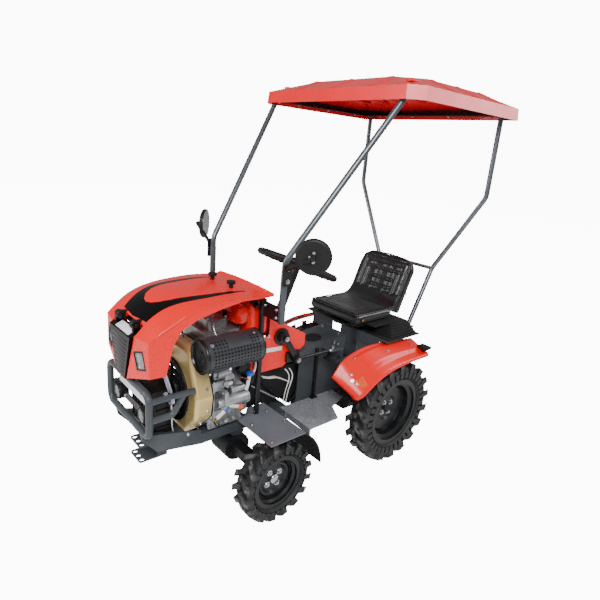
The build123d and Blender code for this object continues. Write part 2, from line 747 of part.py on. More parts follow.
tongue = tongue & hood_body(0.0)
tongue += box(hood_cut_x, hinge_x, tongue_inner, tongue_outer, hinge_z - hinge_radius, hinge_z + hinge_radius)
tongue += rod((hinge_x, tongue_inner, hinge_z), (hinge_x, tongue_outer, hinge_z), hinge_radius)
tongue += rod((hinge_x, tongue_inner, hinge_z), (hinge_x, hinge_half + hinge_block / 4, hinge_z), hinge_pin_radius)
parts["hood"] = hood + both_sides(tongue)
lamp = Box(pod_lamp_depth, pod_lamp_width - 2 * seat_gap, pod_lamp_height - 2 * seat_gap)
lamp = lamp_seat * Pos(lamp_lens - pod_lamp_depth / 2, 0, 0) * lamp
parts["hood_lamps"] = both_sides(lamp)


# Hood knobs
knob_foot = hood_peak + 0.09 * hood_nose_drop
knob = rod((knob_x, knob_half, hood_peak), (knob_x, knob_half, knob_foot + knob_height), knob_stem)
knob += rod((knob_x, knob_half, knob_foot + knob_height / 2), (knob_x, knob_half, knob_foot + knob_height),
            knob_radius)
knob -= Pos(0, 0, seat_gap) * hood_body(0.0)
parts["hood_knobs"] = both_sides(knob)

# Engine: crankcase, finned barrel, head and rocker cover; fan shroud in front
shroud_outline_shares = [
    # across as a share of the half width, height as a share of the shroud's height
    (0.45, 0.00), (1.00, 0.28), (1.06, 0.52), (0.80, 0.80), (0.72, 1.00), (-0.30, 1.00), (-0.80, 0.84),
    (-1.06, 0.52), (-1.00, 0.28), (-0.45, 0.00)]


def shroud_outline(inset, x):
    """The shroud's rounded outline in the front view, drawn in by an inset."""
    height = shroud_high - shroud_low
    points = [(0, across * shroud_half, shroud_low + up * height) for across, up in shroud_outline_shares]
    face = make_face(FilletPolyline(*points, radius=shroud_half * 0.2, close=True))
    if inset:
        face = offset(face, amount=-inset)
    return Pos(x, 0, 0) * face


case_outline_shares = [(0.5, 0.0), (1.0, 0.22), (1.0, 0.8), (0.62, 1.0), (-0.62, 1.0), (-1.0, 0.8), (-1.0, 0.22),
                       (-0.5, 0.0)]
case_height = case_high - case_low
crankcase = front_prism([(across * case_half, case_low + up * case_height)
                         for across, up in case_outline_shares], case_rear, gasket_x)
crankcase += rod((case_rear - fin_wall, 0, crank_z), (gasket_x, 0, crank_z), case_half * 0.62)
parts["engine_case"] = crankcase
barrel = rod((barrel_x, 0, case_high), (barrel_x, 0, head_low), barrel_radius)
fin_pitch = (head_low - case_high) / (fin_count + 1)
for count in range(fin_count):
    level = case_high + (count + 1) * fin_pitch
    barrel += box(barrel_x - fin_radius, gasket_x - fin_wall, -fin_radius, fin_radius, level - fin_wall / 2,
                  level + fin_wall / 2)
head = box(barrel_x - head_length / 2, barrel_x + head_length / 2, -head_half, head_half, head_low, head_high)
head += fillet(box(barrel_x - cover_length / 2, barrel_x + cover_length / 2, -cover_half, cover_half,
                   head_high, cover_high).edges().filter_by(Axis.Z), cover_half * 0.3)
parts["engine_head"] = barrel + head

parts["shroud_gasket"] = extrude(shroud_outline(0, gasket_x) - shroud_outline(2 * shroud_wall, gasket_x),
                                 amount=gasket_wall, dir=(1, 0, 0))
shroud_back = gasket_x + gasket_wall


def shroud_body(inset, back):
    """The shroud's rounded body up to its front, drawn in by an inset."""
    front = shroud_front - inset
    body = extrude(shroud_outline(seat_gap + inset, back), amount=front - back, dir=(1, 0, 0))
    return fillet(body.edges().filter_by(lambda edge: edge.center().X > front - shroud_wall / 2),
                  shroud_round - inset)


shroud = shroud_body(0.0, shroud_back) - shroud_body(shroud_wall, shroud_back - cut_over)
shroud -= rod((shroud_front - cut_over, 0, crank_z), (shroud_front + cut_over, 0, crank_z), fan_radius)
parts["fan_shroud"] = shroud
grille_ring = rod((shroud_front, 0, crank_z), (shroud_front + fan_wall, 0, crank_z), fan_radius + fan_wall)
for ring_share in (0.86, 0.62, 0.38):
    outer = fan_radius * ring_share
    ring = rod((shroud_front - cut_over, 0, crank_z), (shroud_front + cut_over, 0, crank_z), outer)
    ring -= rod((shroud_front - cut_over, 0, crank_z), (shroud_front + cut_over, 0, crank_z), outer - fan_wall * 1.6)
    ring -= box(shroud_front - cut_over, shroud_front + cut_over, -fan_radius, fan_radius,
                crank_z - fan_wall / 2, crank_z + fan_wall / 2)
    ring -= box(shroud_front - cut_over, shroud_front + cut_over, -fan_wall / 2, fan_wall / 2,
                crank_z - fan_radius, crank_z + fan_radius)
    grille_ring -= ring
parts["fan_grille"] = grille_ring

# Muffler on its elbow, beside the head
muffler = rod((muffler_rear, muffler_y, muffler_z), (muffler_front, muffler_y, muffler_z), muffler_radius)
muffler = fillet(muffler.edges(), shroud_wall * 2)
pipe_x = muffler_rear + muffler_radius
parts["muffler"] = muffler + box(pipe_x - pipe_radius, pipe_x + pipe_radius, head_half, muffler_y,
                                 muffler_z - pipe_radius, muffler_z + pipe_radius)

# Fuel tank behind the head, under the hood's tail
tank = box(tank_rear, tank_front, -tank_half, tank_half, tank_low, tank_high)
parts["fuel_tank"] = fillet(tank.edges(), tank_round)
cradle = box(tank_rear, tank_front, -tank_half * 0.8, tank_half * 0.8, tank_low - rail_wall, tank_low)
for side in (-1, 1):
    middle = side * case_drive_half * 0.7
    cradle += box(tank_front - 2 * rail_width, tank_front - rail_width, middle - stay_width / 2,
                  middle + stay_width / 2, case_drive_high, tank_low - rail_wall)

# Starter and injection pump beside the crankcase
starter_z = case_low + case_height * 0.62
starter_y = case_half + muffler_radius * 0.5 + seat_gap
starter = rod((case_rear + rail_width, starter_y, starter_z), (gasket_x - 2 * shroud_wall, starter_y, starter_z),
              muffler_radius * 0.5)
parts["starter_motor"] = starter

# Drive housing from the engine to the gearbox, under the cover
drive = box(gearbox_front, case_rear - 2 * shroud_wall, -case_drive_half, case_drive_half,
            case_drive_low, case_drive_high)
parts["drive_housing"] = drive + cradle

# Red cover behind the engine, open below, with the column's hole
console_outline = [(console_front, console_nose_top), (console_rear, console_tail_top),
                   (console_rear, console_low + 2 * rail_width), (case_drive_high + 2 * stay_half, console_low),
                   (console_front, console_low)]
console = side_prism(console_outline, -console_half, console_half)
side_wall = side_prism([(console_front - console_wall, console_low), (console_side_front, console_low),
                        (console_side_front, console_side_top), (console_front - console_wall, console_side_top)],
                       console_half - console_wall, console_half)
console_slope = (console_nose_top - console_tail_top) / (console_front - console_rear)
console_inner = [(console_front + cut_over, console_nose_top - console_wall + cut_over * console_slope),
                 (console_rear + console_wall, console_tail_top - console_wall),
                 (console_rear + console_wall, console_low - cut_over), (console_front + cut_over,
                                                                        console_low - cut_over)]
console -= side_prism(console_inner, console_wall - console_half, console_half - console_wall)
console += both_sides(side_wall)
column_axis = (cos(radians(column_tilt)), 0, -sin(radians(column_tilt)))


def on_column(distance):
    """A point on the steering column's axis, this far below the steering wheel's middle."""
    return (column_x + distance * column_axis[0], 0, column_z + distance * column_axis[2])


console -= rod(on_column(0), on_column(2 * (column_z - column_foot)), column_radius + seat_gap)
parts["console_cover"] = console

# Grey tunnel between the driver's feet
tunnel_outline = [(tunnel_front, tunnel_front_top), (tunnel_rear, tunnel_rear_top), (tunnel_rear, step_top),
                  (tunnel_front, step_top)]
tunnel = side_prism(tunnel_outline, -tunnel_half, tunnel_half)
tunnel_inner = [(tunnel_front + cut_over, tunnel_front_top - tunnel_wall),
                (tunnel_rear - cut_over, tunnel_rear_top - tunnel_wall), (tunnel_rear - cut_over, 0),
                (tunnel_front + cut_over, 0)]
parts["tunnel_cover"] = tunnel - side_prism(tunnel_inner, tunnel_wall - tunnel_half, tunnel_half - tunnel_wall)

# Foot plates each side of the tunnel
step_outline = [(step_front, rail_half - rail_width), (step_front + stay_half / 3, step_outer),
                (step_notch + 2 * stay_half, step_outer), (step_notch, (step_outer + rail_half) / 2),
                (step_rear, (rail_half + tunnel_half + step_outer) / 3), (step_rear, tunnel_half + seat_gap),
                (step_front - rail_width, tunnel_half + seat_gap)]
foot_plate = plan_prism(step_outline, rail_top, rail_top + step_wall)
foot_plate += plan_prism([(step_front, rail_half + seat_gap), (step_front + stay_half / 3, step_outer),
                          (step_front + stay_half / 3 - step_wall, step_outer),
                          (step_front - step_wall, rail_half + seat_gap)], rail_top - step_lip, rail_top)
parts["foot_plates"] = both_sides(foot_plate)

# Seat deck on two legs over the gearbox, the bellows, cushion and back
deck = box(deck_rear, deck_front, -deck_half, deck_half, deck_top - deck_wall, deck_top)
skirt = box(deck_front - deck_wall, deck_front, tunnel_half + pin_gap, rear_fender_inner - stay_wall,
            deck_top - deck_skirt, deck_top)
ledge = box(rear_foot_x - 2 * post_radius, deck_rear, rear_foot_y - 2 * post_radius,
            rear_foot_y + 2 * post_radius, deck_top - deck_wall, deck_top)
deck += both_sides(skirt + ledge)
deck += box(deck_rear + rail_width, deck_front - rail_width, -pedestal_half, pedestal_half,
            gearbox_high, deck_top - deck_wall)
rest = box(deck_rear / 2, deck_front, rear_fender_inner - stay_width / 2,
           rear_fender_inner + stay_wall, fender_top + seat_gap, deck_top - deck_wall)
parts["seat_deck"] = deck + both_sides(rest)
bellows_high = seat_low - rail_wall
bellows = None
fold_height = (bellows_high - deck_top) / bellows_folds
for count in range(bellows_folds):
    low = deck_top + count * fold_height
    outset = 0 if count % 2 else stay_width / 2
    taper = count * stay_width / 4
    slab = box(bellows_rear - outset + taper / 2, bellows_front + outset - taper, taper - bellows_half - outset,
               bellows_half + outset - taper, low, low + fold_height)
    bellows = slab if bellows is None else bellows + slab
parts["seat_mount"] = bellows + box(seat_rear - stay_wall, seat_front - stay_width, stay_width - seat_half,
                                    seat_half - stay_width, bellows_high, seat_low)
cushion = fillet(box(seat_rear + back_thick, seat_front, -seat_half, seat_half, seat_low, seat_low + seat_thick)
                 .edges().filter_by(Axis.Z), seat_thick * 0.6)
parts["seat_cushion"] = cushion
back_height = (back_high - seat_low) / cos(radians(back_lean))
back = box(-back_thick, 0, -seat_half, seat_half, back_thick * tan(radians(back_lean)) + seat_gap, back_height)
top_corners = back.edges().filter_by(Axis.X).filter_by(lambda edge: edge.center().Z > back_height / 2)
back = fillet(top_corners, seat_half * 0.4)
parts["seat_back"] = Pos(seat_rear + back_thick - seat_gap, 0, seat_low) * Rot(0, -back_lean, 0) * back

# Steering column, and the steering wheel on its shaft
hub_drop = wheel_hub_height / 2
column = rod(on_column(hub_drop + pin_gap), on_column((column_z - case_drive_high) / -column_axis[2]),
             column_radius)
column -= rod(on_column(0), on_column(hub_drop + pin_gap + shaft_reach + pin_gap), shaft_radius + run_gap)
column -= box(0, wheelbase, -rail_width, rail_width, 0, case_drive_high)
parts["steering_column"] = column
wheel_plane = Plane(origin=on_column(0), z_dir=(-column_axis[0], 0, -column_axis[2]), x_dir=(0, 1, 0))
ring = revolve(Pos(wheel_rim_radius - wheel_grip_radius, 0, 0) * Rot(90, 0, 0) * Circle(wheel_grip_radius), Axis.Z)
hand_wheel = ring + Pos(0, 0, -hub_drop) * extrude(Circle(wheel_hub_radius), amount=wheel_hub_height)
for turn in (-90, 30, 150):
    spoke = Box(wheel_rim_radius - wheel_grip_radius, spoke_width, spoke_wall,
                align=(Align.MIN, Align.CENTER, Align.CENTER))
    hand_wheel += Rot(0, 0, turn) * spoke
hand_wheel += Pos(0, 0, -hub_drop - shaft_reach) * extrude(Circle(shaft_radius), amount=shaft_reach)
parts["steering_wheel"] = wheel_plane.location * hand_wheel

# Control lever, its link rod and the pedals
lever_x = console_rear + rail_width
lever_y = console_half + seat_gap
lever_top = console_low + 2 * rail_width
lever = rod((lever_x, lever_y, lever_top), (lever_x, lever_y + rail_width, lever_top), hub_boss_radius)
lever += box(lever_x - stay_wall, lever_x + stay_wall, lever_y + stay_width, lever_y + rail_width,
             console_low + stay_width, lever_top)
lever += rod((lever_x, lever_y + stay_width, console_low + rail_width), (tunnel_rear + 4 * rail_width,
             lever_y + stay_width, console_low + rail_width), mirror_stem)
pedal = box(console_rear + 2 * rail_width, console_front, console_half - stay_width - hitch_plate,
            console_half - stay_width, console_low - rail_width, console_low - rail_width / 3)
pedal += rod((console_front - stay_width, case_drive_half, console_low - rail_width * 0.9),
             (console_front - stay_width, console_half - stay_width, console_low - rail_width * 0.9), mirror_stem)
parts["controls"] = lever + pedal

# Front fender plates on the rails, and the rubber flaps behind the front wheels
plate_outline = [(front_plate_front, front_plate_inner), (front_plate_front, front_plate_outer),
                 (front_plate_rear, front_plate_outer), (front_plate_rear, rail_half - rail_width),
                 (case_rear - rail_width, rail_half - rail_width), (case_rear, front_plate_neck)]
plate = plan_prism(plate_outline, front_plate_z - front_plate_wall, front_plate_z)
plate += box(front_plate_rear, rail_step, rail_half - rail_width, rail_half, rail_top,
             front_plate_z - front_plate_wall)
parts["front_fenders"] = both_sides(plate)
flap_reach = front_plate_z - front_plate_wall - beam_z
flap_start = ((wheelbase - front_plate_rear) ** 2 + flap_reach ** 2) ** 0.5
flap_ring = revolve(Pos(flap_start, 0, 0) * Rectangle(flap_wall, front_plate_outer - front_plate_inner,
                                                      align=(Align.MAX, Align.MIN)), Axis.Y)
flap_ring = Pos(wheelbase, front_plate_inner, beam_z) * flap_ring
flap_low = beam_z + stay_width / 2
flap = flap_ring & box(0, front_plate_rear + rail_width, 0, 2 * front_plate_outer, flap_low,
                       front_plate_z - front_plate_wall)
parts["front_flaps"] = both_sides(flap)

# Rear fenders: pressed sheet that rises from its outer edge towards the seat
fender_shares = [
    # along from front to rear; outer edge and inner edge as shares of the rise
    (0.00, 0.00, 0.42), (0.10, 0.28, 0.78), (0.30, 0.72, 0.98), (0.55, 0.94, 1.00), (1.00, 1.00, 0.86)]
fender_length = fender_front - fender_rear
edge_rise = fender_edge_top - fender_low
top_rise = fender_top - fender_low
outer_edge = [(fender_front - along * fender_length, fender_low + low * edge_rise)
              for along, low, high in fender_shares]
inner_edge = [(fender_front + stay_half * 2 * (1 - along) - along * fender_length, fender_low + high * top_rise)
              for along, low, high in fender_shares]


def band(edge, y):
    """A strip of sheet seen from the side: an edge line with the sheet's thickness below it."""
    points = edge + [(x, z - fender_wall) for x, z in reversed(edge)]
    return make_face(Polyline(*[(x, y, z) for x, z in points], close=True))


fender = loft([band(outer_edge, rear_fender_outer), band(inner_edge, rear_fender_inner)], ruled=True)
parts["rear_fenders"] = both_sides(fender)
tail_bracket_x = fender_rear - fender_wall
tail_z = fender_edge_top + tail_lamp_radius
tail = box(tail_bracket_x, fender_rear, tail_lamp_y - tail_lamp_radius, tail_lamp_y + tail_lamp_radius,
           fender_edge_top - tail_lamp_radius / 2, tail_z + tail_lamp_radius)
tail += rod((tail_bracket_x, tail_lamp_y, tail_z), (tail_bracket_x - tail_lamp_length, tail_lamp_y, tail_z),
            tail_lamp_radius)
parts["tail_lamps"] = both_sides(tail)

# Canopy posts, brackets and frame
bracket = rod((strut_x, strut_y, front_plate_z), (strut_x, strut_y, strut_top), strut_radius)
bracket += box(post_foot_x - bracket_wall / 2, post_foot_x + bracket_wall / 2, strut_y,
               post_foot_y - post_radius - seat_gap, bracket_low, strut_top)
front_rise = (top_z + angle_leg - post_bend_z) / (top_z - post_bend_z)
front_post = bent_bar([(post_foot_x, post_foot_y, bracket_low), (post_foot_x, post_foot_y, post_bend_z),
                       (post_foot_x + (front_top_x - post_foot_x) * front_rise,
                        post_foot_y + (front_top_y - post_foot_y) * front_rise, top_z + angle_leg)],
                      post_radius, post_bend)
front_post -= box(roof_rear, hood_front, 0, roof_half, top_z, roof_high)
foot_run = (rear_foot_x - rear_knee_x) / (rear_knee_z - deck_top)
rear_post = bent_bar([(rear_foot_x + foot_run * angle_leg, rear_foot_y, deck_top - angle_leg),
                      (rear_knee_x, rear_knee_y, rear_knee_z), (rear_top_x, rear_top_y, rear_bend_z),
                      (rear_top_x, rear_top_y, top_z)], post_radius, post_bend)
rear_post += rod((rear_knee_x, 0, rear_knee_z), (rear_knee_x, rear_knee_y, rear_knee_z), post_radius * 0.8)
rear_post -= box(2 * roof_rear, 0, -roof_half, roof_half, 0, deck_top)
parts["canopy_brackets"] = both_sides(bracket)
parts["front_posts"] = both_sides(front_post)
parts["rear_posts"] = both_sides(rear_post)


def roof_outline(inset, level):
    """The roof's plan outline with clipped front corners, drawn in by an inset."""
    clip = roof_chamfer + inset * 0.3
    front, rear, half = roof_front - inset, roof_rear + inset, roof_half - inset
    return make_face(Polyline((front, half - clip, level), (front - clip, half, level), (rear, half, level),
                              (rear, -half, level), (front - clip, -half, level), (front, clip - half, level),
                              close=True))


def roof_body(wall):
    """The roof's outside as a solid, or its inside when drawn in by the wall."""
    low = roof_low - (cut_over if wall else 0)
    return loft([roof_outline(wall, low), roof_outline(wall + roof_wall, roof_low + roof_skirt - wall),
                 roof_outline(wall + roof_slope_run, roof_high - wall)], ruled=True)


parts["canopy_roof"] = roof_body(0.0) - roof_body(roof_wall)


def frame_slab(inset, low, high):
    """A slab under the roof with the roof's outline, drawn in by an inset."""
    return extrude(roof_outline(2 * roof_wall + seat_gap + inset, low), amount=high - low, dir=(0, 0, 1))


canopy_frame = frame_slab(0, top_z, top_z + angle_leg - 3 * seat_gap)
canopy_frame -= frame_slab(angle_wall, top_z + angle_wall, top_z + 2 * angle_leg)
canopy_frame -= frame_slab(angle_leg, top_z - cut_over, top_z + cut_over)
for bar_x in (front_top_x, rear_top_x):
    canopy_frame += frame_slab(0, top_z, top_z + angle_wall) & box(
        bar_x - angle_leg / 2, bar_x + angle_leg / 2, -roof_half, roof_half, top_z, top_z + angle_wall)
parts["canopy_frame"] = canopy_frame

# Mirrors: a round shell on an arm from a plate bolted to the front post
clamp_half = post_radius * 1.5
clamp_y = post_foot_y + post_radius + seat_gap
clamp = box(post_foot_x - clamp_half, post_foot_x + clamp_half, clamp_y, clamp_y + bracket_wall,
            mirror_clamp_low, mirror_clamp_high)
turn_share = 0.7071
back_x = mirror_x + mirror_wall / 2 * turn_share
back_y = mirror_y + mirror_wall / 2 * turn_share
face = (mirror_x - mirror_wall / 2 * turn_share, mirror_y - mirror_wall / 2 * turn_share, mirror_z)
mirror_disc = rod(face, (back_x, back_y, mirror_z), mirror_radius)
back_edge = mirror_disc.edges().filter_by(GeomType.CIRCLE).sort_by(Axis.X)[-1]
mirror_disc = fillet(back_edge, mirror_wall * 0.6)
elbow = (back_x + stay_width * turn_share, back_y + stay_width * turn_share, mirror_z)
stem_start = (post_foot_x + mirror_stem, clamp_y + bracket_wall / 2, mirror_clamp_high - clamp_half)
stem = rod(stem_start, elbow, mirror_stem) + rod(elbow, (back_x, back_y, mirror_z), mirror_stem)
parts["mirrors"] = both_sides(clamp + mirror_disc + stem)

# Rear hitch behind the gearbox
rear_hitch = box(gearbox_rear - 2 * rail_width, gearbox_rear, -hitch_half, hitch_half, rear_z,
                 rear_z + hitch_plate * 2)
rear_hitch -= rod((gearbox_rear - rail_width, 0, 0), (gearbox_rear - rail_width, 0, 2 * rear_z),
                  pin_hole_radius)
parts["rear_hitch"] = rear_hitch

os.makedirs("parts", exist_ok=True)
for name, shape in parts.items():
    export_step(Pos(-origin_ahead, 0, floor_below) * shape, f"parts/{name}.step")
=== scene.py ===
"""A compact ride-on tractor with an open engine, a tilting hood and a canopy, dressed around its CAD frame.

Pieces are drawn in millimetres, from the middle of the rear axle and the level that CAD heights count from.
finished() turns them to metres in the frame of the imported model.
"""
import math

import bmesh
import bpy
from mathutils import Matrix, Vector
from mathutils.bvhtree import BVHTree


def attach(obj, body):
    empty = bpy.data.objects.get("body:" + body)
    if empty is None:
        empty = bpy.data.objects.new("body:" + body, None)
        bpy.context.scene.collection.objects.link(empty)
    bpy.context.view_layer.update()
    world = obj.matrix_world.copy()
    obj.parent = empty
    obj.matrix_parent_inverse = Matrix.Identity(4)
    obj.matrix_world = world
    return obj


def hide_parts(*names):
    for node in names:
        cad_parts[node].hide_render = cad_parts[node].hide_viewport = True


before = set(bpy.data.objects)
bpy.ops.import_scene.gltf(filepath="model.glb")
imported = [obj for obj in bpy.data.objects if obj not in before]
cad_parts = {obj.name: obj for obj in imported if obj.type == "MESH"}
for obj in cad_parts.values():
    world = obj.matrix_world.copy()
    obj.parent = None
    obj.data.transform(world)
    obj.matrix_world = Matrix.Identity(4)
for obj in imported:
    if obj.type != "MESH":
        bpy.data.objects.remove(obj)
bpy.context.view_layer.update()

MM = 0.001
ORIGIN_AHEAD = 388.0        # part's origin, ahead of the rear axle
FLOOR_BELOW = 7.0           # ground, below the level that heights count from
TO_FRAME = Matrix.Scale(MM, 4) @ Matrix.Translation((-ORIGIN_AHEAD, 0, FLOOR_BELOW))
FULL_TURN = 2 * math.pi
SHARP = math.radians(38)
SIDES = (("left", 1), ("right", -1))
AHEAD, UP, DOWN = (1, 0, 0), (0, 0, 1), (0, 0, -1)
BACKDROP_GLOW = 11.0        # how bright the paper looks to the camera, so that it stays near white
ROOM_GLOW = 0.32            # how strongly the white surroundings light the tractor
SOFT_GLINT = 0.32           # specular level at which those surroundings don't wash the colours out


# Materials
def linear(colour):
    """sRGB hex to a linear colour with alpha."""
    parts = [int(colour[i:i + 2], 16) / 255 for i in (1, 3, 5)]
    return [p / 12.92 if p <= 0.04045 else ((p + 0.055) / 1.055) ** 2.4 for p in parts] + [1.0]


def fill(tree, node, inputs):
    """Sets a node's inputs. A value that is a socket gets linked."""
    for key, value in inputs.items():
        if isinstance(value, bpy.types.NodeSocket):
            tree.links.new(value, node.inputs[key])
        else:
            node.inputs[key].default_value = value


def add(tree, kind, inputs=None, **settings):
    """Adds a node with its settings and its inputs."""
    made = tree.nodes.new(kind)
    for key, value in settings.items():
        setattr(made, key, value)
    fill(tree, made, inputs or {})
    return made


def new_material(name):
    """An empty material with its shader, and Object coordinates in metres."""
    material = bpy.data.materials.new(name)
    material.use_nodes = True
    tree = material.node_tree
    tree.nodes.clear()
    shader = add(tree, "ShaderNodeBsdfPrincipled")
    add(tree, "ShaderNodeOutputMaterial", {"Surface": shader.outputs[0]})
    return material, tree, shader, add(tree, "ShaderNodeTexCoord").outputs["Object"]


def spread(tree, value, low, high, start=0.3, end=0.7):
    """Maps a pattern's middle range to a range of values."""
    inputs = {"Value": value, "From Min": start, "From Max": end, "To Min": low, "To Max": high}
    return add(tree, "ShaderNodeMapRange", inputs).outputs[0]


def surface(name, colour, shade, patch_mm, grain_mm, rough, bump_mm, metallic=0.0, coat=0.0, mottled=None,
            glint=SOFT_GLINT):
    """A finish with slow changes of colour over patch_mm, relief of grain_mm and a range of roughness."""
    material, tree, shader, place = new_material(name)
    patches = add(tree, "ShaderNodeTexNoise", {"Vector": place, "Scale": 1 / (patch_mm * MM), "Detail": 4.0})
    grain = add(tree, "ShaderNodeTexNoise", {"Vector": place, "Scale": 1 / (grain_mm * MM), "Detail": 3.0})
    blend = spread(tree, patches.outputs[0], 0.0, 1.0)
    mix = add(tree, "ShaderNodeMix", {0: blend, 6: linear(colour), 7: linear(shade)}, data_type="RGBA")
    if mottled:
        fleck = spread(tree, grain.outputs[0], 0.0, 1.0, 0.5, 0.62)
        mix = add(tree, "ShaderNodeMix", {0: fleck, 6: mix.outputs[2], 7: linear(mottled)}, data_type="RGBA")
    bump = {"Height": grain.outputs[0], "Distance": bump_mm * MM, "Strength": 0.6}
    relief = add(tree, "ShaderNodeBump", bump)
    fill(tree, shader, {"Base Color": mix.outputs[2], "Roughness": spread(tree, grain.outputs[0], *rough),
                        "Normal": relief.outputs[0], "Metallic": metallic, "Coat Weight": coat,
                        "Coat Roughness": 0.05, "Specular IOR Level": glint})
    if not metallic:
        shader.inputs["IOR"].default_value = 1.5
    return material


# Gloss enamel on pressed steel: deep colour under a clear skin, with a faint orange peel
red_enamel = surface("gloss_red_enamel", "#F2120A", "#EA0E08", 340, 3, (0.24, 0.30), 0.012, coat=0.12)
tank_enamel = surface("tank_red_enamel", "#EE120C", "#D80D08", 160, 14, (0.20, 0.34), 0.35, coat=0.3)
# Vacuum-formed ABS: soft broad highlights, slightly uneven colour where the sheet stretched
canopy_abs = surface("vacuum_formed_red_abs", "#EE1420", "#E0101B", 420, 60, (0.26, 0.34), 0.10, coat=0.2)
# Satin powder coat: fine pebble, no sharp reflection
slate_powder = surface("slate_powder_coat", "#44494D", "#3A3F43", 90, 1.6, (0.36, 0.50), 0.05, coat=0.15)
black_powder = surface("black_powder_coat", "#17181A", "#101113", 90, 1.6, (0.34, 0.48), 0.10, coat=0.15)
# Steel tube under clear lacquer: brighter than the coated parts, faintly clouded
post_steel = surface("lacquered_grey_steel_tube", "#6B7075", "#5C6166", 160, 8.0, (0.30, 0.36), 0.0,
                     metallic=0.75)
# Hammered finish: rounded dimples that break up the light
hammered_grey = surface("hammered_grey_enamel", "#7E8388", "#686C72", 60, 5, (0.34, 0.50), 0.5,
                        mottled="#A0A4AA")
# Satin grey plate: the tone between the dark frame and the foot plates
plate_grey = surface("satin_grey_plate", "#6A6E75", "#5C6067", 120, 1.6, (0.36, 0.48), 0.04, coat=0.15)
# Moulded polypropylene: matt, fine spark-eroded grain
moulded_black = surface("moulded_black_polypropylene", "#141415", "#0D0D0E", 60, 1.1, (0.42, 0.56), 0.08)
# Polished ABS: deep black with clean reflections, kept faint so that white surroundings don't grey it
piano_black = surface("polished_black_abs", "#060505", "#0B0606", 120, 14, (0.10, 0.16), 0.02, glint=0.12)
# Metallic paint over a pressed shroud: flakes under gloss
shroud_gold = surface("champagne_metallic_paint", "#E3C88A", "#D6B876", 220, 1.0, (0.30, 0.38), 0.01,
                      metallic=0.6, coat=0.3)
# Heat-proof satin paint on the silencer's sheet: a little paler than the drum behind its holes
silencer_black = surface("heat_proof_satin_black", "#333639", "#2A2C2F", 90, 1.4, (0.30, 0.42), 0.05,
                         coat=0.2)
# Die casting: bright, slightly grained skin with duller hollows
die_cast = surface("die_cast_aluminium", "#B9BBBD", "#8E9194", 35, 2.4, (0.34, 0.55), 0.25, metallic=0.85)
# Sand casting under black paint: coarse skin
painted_iron = surface("painted_cast_iron", "#1B1C1E", "#141517", 60, 3.0, (0.42, 0.62), 0.35)
# Nitrile and EPDM rubber: dull, slightly bloomed
soft_rubber = surface("black_epdm_rubber", "#121213", "#1C1C1D", 40, 1.5, (0.55, 0.72), 0.10)
# Bright zinc plate on bolts: bluish silver
zinc = surface("bright_zinc_plate", "#C9CDD2", "#A9AEB4", 14, 0.8, (0.20, 0.34), 0.03, metallic=1.0)
# Stove enamel on the silencer's ends and elbow: satin black with a thin gloss over it
stove_black = surface("stove_black_enamel", "#1A1A1C", "#101011", 70, 1.8, (0.26, 0.42), 0.10, coat=0.25)
# Polyester powder in white: even, with a soft shine
plate_white = surface("white_polyester_plate", "#F1F1F4", "#E4E5EA", 70, 2.0, (0.26, 0.36), 0.04, coat=0.3)
# Acrylic lenses: deep colour with sharp glints
lens_red = surface("red_acrylic_lens", "#7A1210", "#4D0B0A", 20, 2.0, (0.10, 0.20), 0.05, coat=0.8)
amber_lens = surface("amber_acrylic_lens", "#F2591B", "#DD4410", 20, 2.2, (0.12, 0.25), 0.25, coat=0.8)
# The drum behind the silencer's holes: painted shade, a near-black dull colour that makes the holes read as
# shadowed
painted_hole_shade = surface("shadowed_recess", "#060606", "#030303", 20, 2.0, (0.7, 0.9), 0.05)
# Coloured nylon and silicone fittings: smooth, with a soft shine
paint_blue = surface("blue_nylon_connector", "#2468C8", "#1C54A8", 14, 1.0, (0.35, 0.5), 0.05)
paint_orange = surface("orange_silicone_seal", "#EE6A28", "#DA5518", 14, 1.0, (0.4, 0.55), 0.05)
natural_nylon = surface("natural_nylon_moulding", "#E6E4DF", "#D4D2CC", 14, 1.0, (0.35, 0.5), 0.05)
# Pressed brass: warm and bright
brass = surface("brass_eyelet", "#C79A4B", "#A67C34", 10, 0.8, (0.22, 0.34), 0.03, metallic=1.0)
# Zinc under a lilac passivate: pale satin metal with a cool tint
lilac_strap = surface("zinc_strap_with_lilac_passivate", "#B7B6C6", "#9A99AC", 25, 1.4, (0.25, 0.4), 0.05,
                      metallic=0.6)
# Chromed reflectors and mirror glass: bright and clean
silver_bezel = surface("chromed_reflector", "#DADDE0", "#BFC3C7", 20, 3.0, (0.10, 0.22), 0.1, metallic=1.0)


